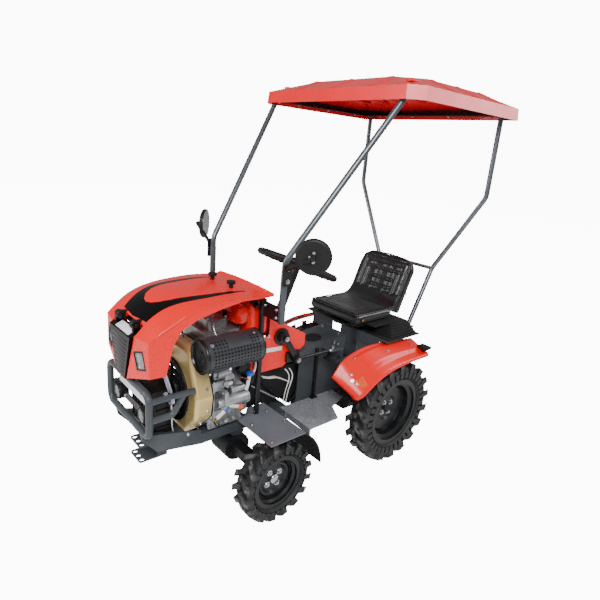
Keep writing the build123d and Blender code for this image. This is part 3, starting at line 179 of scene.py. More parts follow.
def tyre_rubber(name, centre, outer, tread):
    """Ribbed black rubber, with pale dust that collects on the lugs' tops and thins towards the rim."""
    material, tree, shader, place = new_material(name)
    middle = TO_FRAME @ Vector(centre)
    flat = add(tree, "ShaderNodeMapping", {"Vector": place, "Location": (-middle.x, 0, -middle.z),
                                           "Scale": (1, 0, 1)})
    reach = add(tree, "ShaderNodeVectorMath", {0: flat.outputs[0]}, operation="LENGTH").outputs["Value"]
    clouds = add(tree, "ShaderNodeTexNoise", {"Vector": place, "Scale": 1 / (26 * MM), "Detail": 6.0})
    grain = add(tree, "ShaderNodeTexNoise", {"Vector": place, "Scale": 1 / (1.6 * MM), "Detail": 2.0})
    dust = clouds.outputs[0]
    top = spread(tree, reach, 0.0, 1.0, tread * MM, outer * MM)
    settled = spread(tree, dust, 0.0, 0.7, 0.45, 0.62)
    worn = add(tree, "ShaderNodeMath", {0: top, 1: settled}, operation="MULTIPLY").outputs[0]
    rubber = add(tree, "ShaderNodeMix", {0: spread(tree, dust, 0.0, 1.0), 6: linear("#161718"),
                                         7: linear("#232426")}, data_type="RGBA").outputs[2]
    colour = add(tree, "ShaderNodeMix", {0: worn, 6: rubber, 7: linear("#6F6E6B")}, data_type="RGBA")
    relief = add(tree, "ShaderNodeBump", {"Height": grain.outputs[0], "Distance": 0.15 * MM, "Strength": 0.5})
    fill(tree, shader, {"Base Color": colour.outputs[2], "Normal": relief.outputs[0],
                        "Roughness": spread(tree, grain.outputs[0], 0.52, 0.74)})
    return material


def seat_vinyl():
    """Expanded PVC on foam: pebbled skin of 1.5 mm cells with a soft sheen."""
    material, tree, shader, place = new_material("black_expanded_vinyl")
    cells = add(tree, "ShaderNodeTexVoronoi", {"Vector": place, "Scale": 1 / (1.5 * MM)}).outputs["Distance"]
    clouds = add(tree, "ShaderNodeTexNoise", {"Vector": place, "Scale": 1 / (70 * MM), "Detail": 3.0})
    slow = clouds.outputs[0]
    colour = add(tree, "ShaderNodeMix", {0: spread(tree, slow, 0.0, 1.0), 6: linear("#08080A"),
                                         7: linear("#0E0E10")}, data_type="RGBA")
    relief = add(tree, "ShaderNodeBump", {"Height": cells, "Distance": 0.12 * MM, "Strength": 0.5})
    fill(tree, shader, {"Base Color": colour.outputs[2], "Roughness": spread(tree, slow, 0.24, 0.34),
                        "Normal": relief.outputs[0], "Sheen Weight": 0.08, "Specular IOR Level": 0.5})
    return material


def clear_glass():
    """Moulded polycarbonate lens: clear, with shallow flutes."""
    material, tree, shader, place = new_material("clear_polycarbonate_lens")
    wave = add(tree, "ShaderNodeTexWave", {"Vector": place, "Scale": 1 / (24 * MM), "Distortion": 0.4})
    flutes = wave.outputs[0]
    tint = add(tree, "ShaderNodeMix", {0: flutes, 6: linear("#F2F4F6"), 7: linear("#DDE2E6")},
               data_type="RGBA")
    relief = add(tree, "ShaderNodeBump", {"Height": flutes, "Distance": 0.3 * MM, "Strength": 0.4})
    fill(tree, shader, {"Base Color": tint.outputs[2], "Normal": relief.outputs[0], "Roughness": 0.05,
                        "IOR": 1.58, "Transmission Weight": 0.85})
    return material


def floor_paper():
    """Seamless studio paper: near white, with a hardly visible fibre."""
    material = surface("seamless_white_paper", "#FDFDFD", "#FAFAFA", 900, 2.0, (0.8, 0.9), 0.02)
    tree = material.node_tree
    seen = add(tree, "ShaderNodeLightPath").outputs["Is Camera Ray"]
    shader = next(n for n in tree.nodes if n.type == "BSDF_PRINCIPLED")
    shader.inputs["Emission Color"].default_value = (1.0, 1.0, 1.0, 1.0)
    tree.links.new(spread(tree, seen, 0.0, BACKDROP_GLOW, 0.0, 1.0), shader.inputs["Emission Strength"])
    return material


vinyl = seat_vinyl()
lens_clear = clear_glass()

# Sizes shared with the CAD, in its millimetres
WHEELS = {
    # x, z, track half, radius, half width, lug height, seat, flange, rim half, disc inset, lugs
    "rear": (0.0, 247.0, 309.0, 254.0, 56.0, 19.0, 152.4, 171.0, 43.0, 22.0, 18),
    "front": (729.0, 162.0, 320.0, 169.0, 50.0, 16.0, 101.6, 116.0, 36.0, 6.0, 16),
}
DISC_WALL = 6.0
NUT_CIRCLE = 36.0
tyre_skins = {}
for end, (x, z, _, radius, _, lug_height, *_) in WHEELS.items():
    tyre_skins[end] = tyre_rubber(f"{end}_tyre_rubber", (x, 0, z), radius, radius - lug_height)

FINISHES = (
    (red_enamel, "console_cover hood rear_fenders"),
    (tank_enamel, "fuel_tank"),
    (canopy_abs, "canopy_roof"),
    (slate_powder, "bumper_guard chassis_frame front_hitch rear_hitch seat_deck tunnel_cover"),
    (black_powder, "canopy_brackets canopy_frame controls lamp_bar steering_column tie_rod"),
    (post_steel, "front_posts rear_posts"),
    (hammered_grey, "foot_plates"),
    (plate_grey, "front_fenders"),
    (plate_white, "front_plate"),
    (painted_iron, "drive_housing front_axle gearbox knuckle_left knuckle_right rear_axle"),
    (die_cast, "engine_case engine_head starter_motor"),
    (shroud_gold, "fan_shroud"),
    (stove_black, "muffler"),
    (moulded_black, "fan_grille hood_knobs mirrors steering_wheel"),
    (piano_black, "nose_grille"),
    (soft_rubber, "front_flaps seat_mount shroud_gasket"),
    (vinyl, "seat_back seat_cushion"),
    (lens_clear, "guard_lamps hood_lamps"),
    (lens_red, "tail_lamps"),
)
node_finish = {name: material for material, names in FINISHES for name in names.split()}
for end in WHEELS:
    for side, _ in SIDES:
        node_finish[f"{end}_rim_{side}"] = black_powder
        node_finish[f"{end}_tyre_{side}"] = tyre_skins[end]
for name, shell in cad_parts.items():
    for place in shell.material_slots:
        place.material = node_finish[name]


# Mesh helpers, all in millimetres
def stored(name, mesh):
    """Keeps a bmesh as mesh data."""
    data = bpy.data.meshes.new(name)
    mesh.to_mesh(data)
    mesh.free()
    return data


def linked(name, data):
    """A new object in the scene."""
    made = bpy.data.objects.new(name, data)
    bpy.context.scene.collection.objects.link(made)
    return made


def coated(data, material):
    """Gives mesh data its one material and smooth shading."""
    data.materials.clear()
    data.materials.append(material)
    for face in data.polygons:
        face.use_smooth = True


def finished(name, mesh, material, body="chassis", stands_for=()):
    """Makes an object of a mesh that is done, in the frame's metres, riding on its body."""
    bmesh.ops.transform(mesh, matrix=TO_FRAME, verts=mesh.verts)
    data = stored(name, mesh)
    coated(data, material)
    data.set_sharp_from_angle(angle=SHARP)
    made = linked(name, data)
    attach(made, body)
    if stands_for:
        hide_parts(*stands_for)
    return made


def towards(direction, start):
    """The turn and place that carry +Z to a direction from a start."""
    turn = Vector(UP).rotation_difference(Vector(direction).normalized()).to_matrix().to_4x4()
    return Matrix.Translation(start) @ turn


def join(mesh, part, place=None):
    """Adds a finished part to a mesh, at a place."""
    if place is not None:
        bmesh.ops.transform(part, matrix=place, verts=part.verts)
    data = stored("part", part)
    mesh.from_mesh(data)
    bpy.data.meshes.remove(data)


def ringed(mesh, part, count, turn=0.0):
    """Adds a part to a mesh count times, evenly round the Z axis."""
    data = stored("part", part)
    for step in range(count):
        copy = bmesh.new()
        copy.from_mesh(data)
        join(mesh, copy, Matrix.Rotation(turn + FULL_TURN * step / count, 4, "Z"))
    bpy.data.meshes.remove(data)


def rounded(part, edges, edge, segments=2):
    """Rounds some of a part's edges."""
    bmesh.ops.bevel(part, geom=edges, offset=edge, segments=segments, profile=0.5, material=-1,
                    affect="EDGES")


def block(mesh, lo, hi, edge=0.0, turn=None):
    """A box between two corners, its edges rounded by edge, turned about its middle."""
    lo, hi = Vector(lo), Vector(hi)
    part = bmesh.new()
    bmesh.ops.create_cube(part, size=1.0)
    bmesh.ops.scale(part, verts=part.verts, vec=hi - lo)
    if edge:
        rounded(part, part.edges[:], edge)
    join(mesh, part, Matrix.Translation((lo + hi) / 2) @ (turn or Matrix.Identity(4)))


def barrel(mesh, start, end, radius, far_radius=None, sides=32, edge=0.0):
    """A round bar or cone between two points, its rims rounded by edge."""
    start, end = Vector(start), Vector(end)
    run = end - start
    far = radius if far_radius is None else far_radius
    part = bmesh.new()
    bmesh.ops.create_cone(part, cap_ends=True, cap_tris=False, segments=sides, radius1=radius, radius2=far,
                          depth=run.length)
    if edge:
        rims = [e for e in part.edges if abs(e.verts[0].co.z - e.verts[1].co.z) < run.length * 0.01]
        rounded(part, rims, edge)
    join(mesh, part, towards(run, (start + end) / 2))


def bolt(mesh, place, direction, across=10.0, washer=True):
    """A hexagon head on its washer, standing out of a face."""
    place, direction = Vector(place), Vector(direction).normalized()
    thick = across * 0.12 if washer else 0.0
    if washer:
        barrel(mesh, place, place + direction * thick, across * 0.85, sides=20)
    foot, top, end = (place + direction * (thick + across * rise) for rise in (0.0, 0.5, 0.62))
    barrel(mesh, foot, top, across * 0.56, sides=6, edge=across * 0.05)
    barrel(mesh, top, end, across * 0.26, sides=12)


def turned(mesh, outline, start, axis, steps=48):
    """Spins an outline of (radius, along) points about an axis through a start."""
    part = bmesh.new()
    points = [part.verts.new((radius, 0, along)) for radius, along in outline]
    edges = [part.edges.new(pair) for pair in zip(points, points[1:])]
    bmesh.ops.spin(part, geom=points + edges, cent=(0, 0, 0), axis=(0, 0, 1), angle=FULL_TURN, steps=steps,
                   use_merge=True)
    bmesh.ops.remove_doubles(part, verts=part.verts, dist=0.01)
    bmesh.ops.recalc_face_normals(part, faces=part.faces)
    join(mesh, part, towards(axis, start))


def tube(name, points, radius, material, body="chassis", bend=True, sides=10):
    """A round bar, pipe or wire along smooth or straight runs."""
    line = bpy.data.curves.new(name, "CURVE")
    line.dimensions = "3D"
    line.bevel_depth = radius * MM
    line.bevel_resolution = max(1, sides // 4)
    line.use_fill_caps = True
    run = line.splines.new("NURBS" if bend else "POLY")
    run.points.add(len(points) - 1)
    for point, place in zip(run.points, points):
        point.co = (TO_FRAME @ Vector(place)).to_4d()
    if bend:
        run.order_u = min(4, len(points))
        run.use_endpoint_u = True
        run.resolution_u = 8
    holder = linked(name + "_line", line)
    data = bpy.data.meshes.new_from_object(holder)
    bpy.data.objects.remove(holder)
    data.name = name
    coated(data, material)
    made = linked(name, data)
    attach(made, body)
    return made


def surface_of(node):
    """The CAD node's surface in millimetres, to lay thin pieces on."""
    mesh = bmesh.new()
    mesh.from_mesh(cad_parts[node].data)
    bmesh.ops.transform(mesh, matrix=TO_FRAME.inverted(), verts=mesh.verts)
    tree = BVHTree.FromBMesh(mesh)
    mesh.free()
    return tree


def faced(mesh, way):
    """Makes the faces of an open sheet look along a direction."""
    bmesh.ops.recalc_face_normals(mesh, faces=mesh.faces)
    if sum(f.normal.dot(Vector(way)) for f in mesh.faces) < 0:
        bmesh.ops.reverse_faces(mesh, faces=mesh.faces)


def on_line(points, share):
    """The place at a share of a line through points, and the run of the stretch that it is in."""
    along = min(share * (len(points) - 1), len(points) - 1.0001)
    first = int(along)
    start, end = Vector(points[first]), Vector(points[first + 1])
    return start.lerp(end, along - first), end - start


def bar(mesh, start, end, width, thick, edge=1.0, roll=0.0):
    """A flat bar from a start to an end, rolled about its own length."""
    start, end = Vector(start), Vector(end)
    part = bmesh.new()
    bmesh.ops.create_cube(part, size=1.0)
    bmesh.ops.scale(part, verts=part.verts, vec=(width, thick, (end - start).length))
    if edge:
        rounded(part, part.edges[:], edge)
    join(mesh, part, towards(end - start, (start + end) / 2) @ Matrix.Rotation(math.radians(roll), 4, "Z"))


def landing(skin, start, direction):
    """Where a ray from outside meets a skin, and the way that the skin faces there."""
    spot, normal, _, _ = skin.ray_cast(Vector(start), Vector(direction).normalized())
    if spot is None:
        raise ValueError(f"no surface under {start}")
    return spot, -normal if normal.dot(Vector(direction)) > 0 else normal


def raised_strip(name, skin, path, direction, width, height, material, body="chassis"):
    """A low rib with a rounded top, laid on a skin along a path of points outside it."""
    mesh = bmesh.new()
    bmesh.ops.create_grid(mesh, x_segments=12 * (len(path) - 1), y_segments=6, size=1.0)
    aim = Vector(direction).normalized()
    for v in mesh.verts:
        above, run = on_line(path, (v.co.x + 1) / 2)
        side = run.cross(aim).normalized()
        spot, _ = landing(skin, above + side * v.co.y * width / 2, direction)
        fade = min(1.0, 6 * (1 - abs(v.co.x)))
        v.co = spot - aim * (0.2 + height * fade * math.cos(v.co.y * math.pi / 2) ** 0.7)
    faced(mesh, -aim)
    return finished(name, mesh, material, body)


# Wheels
def dressed_tyre(end, side, sign):
    """Smooth carcass, slotted sidewalls and tall staggered lugs."""
    x, z, track, radius, half, lug_height, seat, flange, rim_half, inset, lugs = WHEELS[end]
    base = radius - lug_height
    shoulder = base - lug_height
    bead = rim_half - 4.5
    mesh = bmesh.new()
    outside = [(seat + 0.5, bead), (flange + 1.0, bead), (flange + 2.0, rim_half - 1), (flange + 9, half - 2),
               (flange + 11, half - 14), (shoulder - 2, half - 14), (shoulder, half - 4),
               (base - 7, half * 0.88), (base - 1.5, half * 0.80), (base, half * 0.70)]
    outline = outside + [(base, 0.0)] + [(r, -y) for r, y in reversed(outside)] + [outside[0]]
    turned(mesh, outline, (0, 0, 0), (0, 0, 1), steps=72)
    pitch = FULL_TURN * radius / lugs
    slots = 2 * lugs
    for face_sign in (1, -1):
        pad = bmesh.new()
        bmesh.ops.create_cube(pad, size=2.0)
        for v in pad.verts:
            out = (v.co.x + 1) / 2
            reach = flange + 12 + out * (shoulder - flange - 12)
            angle = v.co.y * 0.33 * FULL_TURN / slots
            deep = half - 15 + (v.co.z + 1) / 2 * (14.0 if out < 0.5 else 15.0)
            v.co = Vector((reach * math.cos(angle), reach * math.sin(angle), face_sign * deep))
        rounded(pad, pad.edges[:], 1.2, 1)
        bmesh.ops.recalc_face_normals(pad, faces=pad.faces)
        ringed(mesh, pad, slots)
        lug = bmesh.new()
        bmesh.ops.create_cube(lug, size=2.0)
        runs = [e for e in lug.edges if abs(e.verts[0].co.x - e.verts[1].co.x) > 1]
        bmesh.ops.subdivide_edges(lug, edges=runs, cuts=3, use_grid_fill=True)
        for v in lug.verts:
            out = (v.co.x + 1) / 2
            high = (v.co.z + 1) / 2
            wide = pitch * (0.15 + 0.05 * out) * (1.16 - 0.16 * high)
            across = -0.10 * half + out * 1.10 * half - (1.0 if out > 0.99 and high < 0.5 else 0.0)
            around = pitch * 0.55 * out ** 1.25 + v.co.y * wide
            drop = 4.0 * max(0.0, out - 0.8) / 0.2 if high > 0.5 else 0.0
            reach = shoulder - 4 + high * (radius - shoulder + 4) - drop
            angle = around / radius
            v.co = Vector((reach * math.cos(angle), reach * math.sin(angle), face_sign * across))
        creases = [e for e in lug.edges if e.calc_face_angle(0) > 0.9]
        rounded(lug, creases, 2.0)
        bmesh.ops.recalc_face_normals(lug, faces=lug.faces)
        ringed(mesh, lug, lugs, (0.5 if face_sign < 0 else 0.0) * FULL_TURN / lugs)
    turn = Matrix.Rotation(math.pi / 2, 4, "X") if sign < 0 else Matrix.Rotation(-math.pi / 2, 4, "X")
    bmesh.ops.transform(mesh, matrix=Matrix.Translation((x, sign * track, z)) @ turn, verts=mesh.verts)
    finished(f"{end}_tyre_{side}_lugged", mesh, tyre_skins[end], f"{end}_wheel_{side}",
             stands_for=(f"{end}_tyre_{side}",))


def wheel_hardware(end, side, sign):
    """Four wheel nuts, the hub's cap and two rings rolled into the dish."""
    x, z, track, radius, half, lug_height, seat, flange, rim_half, inset, lugs = WHEELS[end]
    face = track - inset + DISC_WALL
    wheel, outwards = f"{end}_wheel_{side}", (0, sign, 0)
    nuts = bmesh.new()
    for count in range(4):
        angle = FULL_TURN * (count + 0.5) / 4 + 0.2
        spot = (x + NUT_CIRCLE * math.cos(angle), sign * face, z + NUT_CIRCLE * math.sin(angle))
        bolt(nuts, spot, outwards, 15.0)
    finished(f"{end}_wheel_nuts_{side}", nuts, zinc, wheel)
    cap = bmesh.new()
    turned(cap, [(22, 0), (22, 9), (20.5, 12), (17, 15.2), (0, 16.6)], (x, sign * face, z), outwards)
    finished(f"{end}_hub_cap_{side}", cap, zinc if end == "front" else painted_iron, wheel)
    rings = bmesh.new()
    bulge = ((-4, 0), (-2.5, 2.4), (0, 3), (2.5, 2.4), (4, 0))
    for share, lift in ((0.70, 6.0), (0.86, 0.0)):
        bead = [(seat * share + out, rise) for out, rise in bulge]
        turned(rings, bead, (x, sign * (face + lift), z), outwards, steps=64)
    finished(f"{end}_dish_rings_{side}", rings, black_powder, wheel)


for end in WHEELS:
    for side, sign in SIDES:
        dressed_tyre(end, side, sign)
        wheel_hardware(end, side, sign)


# Silencer: a perforated cover with rolled ends
def perforated_silencer():
    """Cover sheet with rows of holes, and a darker drum behind it, painted near black as the shade seen
    through them.
    """
    axis_y, axis_z, front, rear, radius = 200.0, 712.0, 1012.0, 759.0, 66.0
    around, along = 32, 17
    cell = (front - rear - 22) / along
    mesh = bmesh.new()
    bmesh.ops.create_grid(mesh, x_segments=along, y_segments=around, size=0.5)
    punched = []
    for face in mesh.faces:
        middle = face.calc_center_median()
        column = int((middle.x + 0.5) * along)
        row = int((middle.y + 0.5) * around)
        outer_rows = 22 <= row <= 26
        end_patches = 27 <= row <= 29 and (column > along - 7 or column < 4)
        inner_rows = 4 <= row <= 8
        if 0 < column < along - 1 and (outer_rows or end_patches or inner_rows):
            punched.append(face)
    for v in mesh.verts:
        angle = v.co.y * FULL_TURN - math.pi / 2
        x = rear + 11 + (v.co.x + 0.5) * cell * along
        v.co = Vector((x, axis_y + radius * math.cos(angle), axis_z + radius * math.sin(angle)))
    bmesh.ops.remove_doubles(mesh, verts=mesh.verts, dist=0.01)
    bmesh.ops.inset_individual(mesh, faces=punched, thickness=cell * 0.19, use_even_offset=True)
    bmesh.ops.delete(mesh, geom=punched, context="FACES")
    bmesh.ops.recalc_face_normals(mesh, faces=mesh.faces)
    cover = finished("silencer_cover", mesh, silencer_black, stands_for=("muffler",))
    smoother = cover.modifiers.new("round_holes", "SUBSURF")
    smoother.levels = smoother.render_levels = 2
    rest = bmesh.new()
    for start, direction in ((front - 11, 1), (rear + 11, -1)):
        turned(rest, [(radius - 0.2, -1), (radius, 0), (radius + 0.4, 5), (radius - 1.5, 9), (radius - 6, 11),
                      (radius - 10, 9.5), (radius - 12, 5), (radius - 16, 3.5), (22, 3.5), (20, 6), (0, 6.5)],
               (start, axis_y, axis_z), (direction, 0, 0))
    finished("silencer_ends", rest, stove_black)
    # The drum's near-black colour is painted shade, seen through the cover's holes
    drum = bmesh.new()
    barrel(drum, (front - 9, axis_y, axis_z), (rear + 9, axis_y, axis_z), radius - 5, sides=40)
    finished("silencer_drum", drum, painted_hole_shade)
    tube("exhaust_elbow", [(825, axis_y - 30, axis_z), (825, axis_y - 70, axis_z - 4), (832, 120, axis_z - 6),
                           (838, 88, axis_z + 2)], 17, stove_black, sides=16)
    screws = bmesh.new()
    for x, angle in ((795, 68), (905, -52), (985, -60), (985, 52)):
        a = math.radians(angle)
        bolt(screws, (x, axis_y + radius * math.cos(a), axis_z + radius * math.sin(a)),
             (0, math.cos(a), math.sin(a)), 9.0)
    finished("silencer_screws", screws, zinc)


perforated_silencer()


# Hood's black film
def hood_decal():
    """Gloss black film in a U, open to the tail, laid on the hood's skin."""
    skin = surface_of("hood")
    inner = [(770, 112), (860, 108), (940, 102), (1010, 93), (1060, 80), (1092, 58), (1110, 30), (1117, 0)]
    outer = [(770, 122), (860, 129), (940, 132), (1010, 128), (1070, 118), (1120, 106), (1158, 96), (1166, 0)]
    nose_from, nose_half = 6 / 7, 96
    mesh = bmesh.new()
    bmesh.ops.create_grid(mesh, x_segments=84, y_segments=6, size=1.0)
    for v in mesh.verts:
        share = 1 - abs(v.co.x)
        side = -1 if v.co.x < 0 else 1
        near, far = on_line(inner, share)[0], on_line(outer, share)[0]
        if share > nose_from:
            far = Vector((far.x, nose_half * (1 - share) * 7))
        spot = near.lerp(far, (v.co.y + 1) / 2)
        hit = skin.ray_cast(Vector((spot.x, side * spot.y, 1200)), Vector(DOWN))
        v.co = hit[0] + hit[1] * 0.5 if hit[0] else Vector((spot.x, side * spot.y, 900))
    faced(mesh, UP)
    finished("hood_black_film", mesh, piano_black, "hood")


hood_decal()


# Padded seat
AIR_PRESSURE = 4.0
CLOTH_FRAMES = 20


def segment_distance(u, v, a, b):
    """How far a point in a panel is from a line between two points."""
    x, y = b[0] - a[0], b[1] - a[1]
    share = max(0.0, min(1.0, ((u - a[0]) * x + (v - a[1]) * y) / (x * x + y * y)))
    return math.hypot(u - a[0] - share * x, v - a[1] - share * y)


def frame_lines(left, low, right, high):
    """The four sides of a rectangle."""
    return [((left, low), (right, low)), ((right, low), (right, high)), ((right, high), (left, high)),
            ((left, high), (left, low))]


def foam_pad(name, size, edge, corner, place, swell, facing, welds, node):
    """A rounded foam block, blown up as cloth, with welds pressed in and ribs raised on one face."""
    mesh = bmesh.new()
    bmesh.ops.create_cube(mesh, size=1.0)
    bmesh.ops.scale(mesh, verts=mesh.verts, vec=size)
    if corner:
        posts = [e for e in mesh.edges if corner[1](e.verts[0].co, e.verts[1].co)]
        rounded(mesh, posts, corner[0], 8)
    rounded(mesh, [e for e in mesh.edges if e.calc_face_angle(0) > 0.6], edge, 4)
    bmesh.ops.scale(mesh, verts=mesh.verts, vec=(MM, MM, MM))
    pad = linked(name, stored(name, mesh))
    skin = pad.modifiers.new("even_skin", "REMESH")
    skin.mode, skin.voxel_size = "VOXEL", 0.0055

    def bake():
        done = bpy.data.meshes.new_from_object(pad.evaluated_get(bpy.context.evaluated_depsgraph_get()))
        pad.modifiers.clear()
        pad.data = done

    bake()
    start = [v.co.copy() for v in pad.data.vertices]
    cloth = pad.modifiers.new("air", "CLOTH")
    cloth.settings.use_pressure = True
    cloth.settings.uniform_pressure_force = AIR_PRESSURE
    cloth.settings.effector_weights.gravity = 0.0
    cloth.point_cache.frame_end = CLOTH_FRAMES
    for step in range(1, CLOTH_FRAMES + 1):
        bpy.context.scene.frame_set(step)
    bake()
    bpy.context.scene.frame_set(1)
    for v, rest in zip(pad.data.vertices, start):
        moved = v.co - rest
        if moved.length > swell * MM:
            v.co = rest + moved.normalized() * swell * MM
    soft = pad.modifiers.new("soft", "SUBSURF")
    soft.levels = soft.render_levels = 1
    bake()
    data = pad.data
    for v in [v for v in data.vertices if v.normal.dot(facing) > 0.5]:
        spot = v.co / MM
        u, w = spot.y, (spot.z if abs(facing.x) > 0.5 else spot.x)
        depth = 0.0
        for a, b, high, wide in welds:
            reach = 2.5 * wide
            if (min(a[0], b[0]) - reach < u < max(a[0], b[0]) + reach
                    and min(a[1], b[1]) - reach < w < max(a[1], b[1]) + reach):
                depth += high * math.exp(-(segment_distance(u, w, a, b) / wide) ** 2)
        v.co += facing * depth * MM
    data.transform(Matrix.Scale(1 / MM, 4))
    data.transform(TO_FRAME @ place)
    coated(data, vinyl)
    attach(pad, "chassis")
    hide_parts(node)


SEAT_SWELL = 5.0
BACK_PLACE = Matrix.Translation((-116.3, 0, 664)) @ Matrix.Rotation(math.radians(-22), 4, "Y")


def cushion():
    """Seat cushion: two long side welds, rows of short ribs and a raised border."""
    welds = []
    for side in (-1, 1):
        groove = ((side * 132, -70), (side * 132, 92))
        welds += [(*groove, 3.0, 4.5), (*groove, -1.6, 12), ((side * 100, -30), (side * 100, 78), 2.2, 4.0)]
    welds += [((-118, 112), (118, 112), 3.0, 4.5), ((-92, 90), (92, 90), 2.2, 4.0)]
    for row in (-40, -8, 24):
        for column in (-60, -36, -12, 12, 36, 60):
            welds.append(((column - 7, row), (column + 7, row), 2.4, 3.0))
    welds += [(a, b, -2.0, 4.0) for a, b in frame_lines(-150, -118, 150, 124)]
    foam_pad("seat_cushion_padded", (266, 342, 44), 15, None, Matrix.Translation((21, 0, 689)), SEAT_SWELL,
             Vector(UP), welds, "seat_cushion")


def seat_back():
    """Seat back: eleven blocks with a weld round each, inside a raised border."""
    welds = [(a, b, 2.6, 4.0) for a, b in frame_lines(-136, -92, 136, 108)]
    welds += [(a, b, -2.2, 4.5) for a, b in frame_lines(-146, -100, 146, 116)]
    blocks = [(-118, 62, -58, 90), (-50, 62, 50, 90), (58, 62, 118, 90), (-118, -78, -88, 54),
              (88, -78, 118, 54)]
    for low, high in ((14, 54), (-30, 6), (-78, -38)):
        blocks += [(-80, low, -4, high), (4, low, 80, high)]
    for left, low, right, high in blocks:
        middle = (left + right) / 2
        welds += [(a, b, -5.0, 3.4) for a, b in frame_lines(left, low, right, high)]
        welds.append(((middle, low + 9), (middle, high - 9), 3.5, 9.0))

    def top_corner(a, b):
        return abs(a.x - b.x) > 10 and a.z > 0 and b.z > 0

    foam_pad("seat_back_padded", (46, 342, 292), 13, (70, top_corner),
             BACK_PLACE @ Matrix.Translation((-27, 0, 171.5)), SEAT_SWELL, Vector(AHEAD), welds, "seat_back")


def seat_piping():
    """Piped edges of cushion and back. Each point is doubled, which keeps the corners tight."""
    welt = [(x, y, 712) for x, y in ((-108, -158), (-108, 158), (140, 160), (148, 150), (150, 0), (148, -150),
                                     (140, -160), (-108, -158))]
    tube("cushion_piping", [p for p in welt for _ in (0, 1)], 3.4, vinyl)
    welt = [BACK_PLACE @ Vector((-3.5, y, up))
            for y, up in ((-160, 30), (-160, 240), (-150, 285), (-110, 308), (0, 314), (110, 308), (150, 285),
                          (160, 240), (160, 30))]
    tube("back_piping", [p for p in welt for _ in (0, 1)], 3.4, vinyl)


def seat_curve():
    """The vinyl that sweeps from the cushion up to the back."""
    half = 160
    curve = bmesh.new()
    profile = [(-70, 690), (-66, 712), (-92, 716), (-116, 724), (-134, 737), (-147, 755), (-158, 775),
               (-176, 768), (-150, 700)]
    side = curve.faces.new([curve.verts.new((x, -half, z)) for x, z in profile])
    swept = bmesh.ops.extrude_face_region(curve, geom=[side], use_keep_orig=True)["geom"]
    moved = [v for v in swept if isinstance(v, bmesh.types.BMVert)]
    bmesh.ops.translate(curve, verts=moved, vec=(0, 2 * half, 0))
    bmesh.ops.recalc_face_normals(curve, faces=curve.faces)
    rounded(curve, [e for e in curve.edges if e.calc_face_angle(0) > 1.2], 5.0, 3)
    finished("seat_curve", curve, vinyl)


def seat_eyelets():
    """Brass eyelets that let air out of the pads."""
    eyelet = bmesh.new()
    for spot, length in ((BACK_PLACE @ Vector((-24, 173, 140)), 4), (Vector((116, 172, 690)), 5)):
        barrel(eyelet, spot, spot + Vector((0, length, 0)), 7, sides=20, edge=1.0)
    finished("seat_eyelets", eyelet, brass)


def bellows():
    """Rubber bellows under the seat, its slide rails and the lever that frees them."""
    mesh = bmesh.new()
    for fold in range(5):
        low = 604.5 + fold * 10.4
        shrink = fold * 11
        rear = shrink * 0.3
        block(mesh, (-196 + rear, -268 + shrink, low), (-shrink, 268 - shrink, low + 10.2), edge=4.6)
        block(mesh, (-188 + rear, -258 + shrink, low + 7), (-8 - shrink, 258 - shrink, low + 13), edge=1.0)
    block(mesh, (-176, -205, 652), (60, 205, 660), edge=3.0)
    block(mesh, (-190, -290, 603.6), (44, 290, 606), edge=0.8)
    finished("seat_bellows", mesh, soft_rubber, stands_for=("seat_mount",))
    rails = bmesh.new()
    for side in (-1, 1):
        block(rails, (-150, side * 128 - 12, 651), (140, side * 128 + 12, 663.5), edge=2.0)
        block(rails, (-120, side * 128 - 17, 646), (118, side * 128 + 17, 652), edge=1.5)
        bolt(rails, (100, side * 142, 655), (0, side, 0), 9.0)
    finished("seat_rails", rails, black_powder)
    lever = [(60, 110, 652), (120, 104, 650), (160, 100, 652), (168, 78, 653), (166, 52, 654)]
    tube("seat_slide_lever", lever, 4.0, black_powder)
    knob = bmesh.new()
    barrel(knob, (166, 58, 654), (164, 34, 655), 7, 8.5, sides=20, edge=2.0)
    finished("seat_lever_knob", knob, moulded_black)


cushion()
seat_back()
seat_piping()
seat_curve()
seat_eyelets()
bellows()


# Hood, nose and lamps
GUARD_LAMP_X, GUARD_LAMP_Y, GUARD_LAMP_Z = 1187.0, 110, 491


def hood_trim():
    """Pressed crease along each side, hinge clips, the black lid and its blank white plate."""
    skin = surface_of("hood")
    for side, sign in SIDES:
        path = [(1179, 183, 794), (1144, 186, 821), (1098, 190, 846), (1060, 192, 867), (1014, 194, 883),
                (949, 194, 894), (874, 193, 899), (790, 192, 900), (700, 192, 900)]
        raised_strip(f"hood_crease_{side}", skin, [(x, sign * (y + 100), z + 60) for x, y, z in path],
                     (0, -sign, -0.6), 9, 2.4, red_enamel, "hood")
    clips = bmesh.new()
    hinge_x, hinge_z = 1186, 822
    for _, sign in SIDES:
        middle = sign * 62
        block(clips, (1140, middle - 9, 824), (1184, middle + 9, 836), edge=3.0)
        rolls = ((middle - 12, middle + 12, 15.5, 28), (sign * 48, sign * 83, 9, 24))
        for start, end, radius, sides in rolls:
            barrel(clips, (hinge_x, start, hinge_z), (hinge_x, end, hinge_z), radius, sides=sides, edge=1.5)
        block(clips, (1128, middle - 13, 838), (1160, middle + 13, 843), edge=1.5,
              turn=Matrix.Rotation(math.radians(26), 4, "Y"))
    block(clips, (1112, -112, 808), (1166, 112, 812), edge=1.5,
          turn=Matrix.Rotation(math.radians(30), 4, "Y"))
    finished("hinge_clips", clips, moulded_black, "hood")
    plate = bmesh.new()
    block(plate, (1181, -50, 794.6), (1212, 66, 796.2), edge=0.5,
          turn=Matrix.Rotation(math.radians(25.5), 4, "Y"))
    finished("blank_lid_plate", plate, plate_white)
    slats = bmesh.new()
    for count in range(9):
        z = 632 + count * 16
        half = 34 + (z - 613) / 173 * 50 - 8
        block(slats, (1215.0, -half, z), (1216.0, half, z + 7), edge=0.4)
    finished("nose_slats", slats, piano_black)


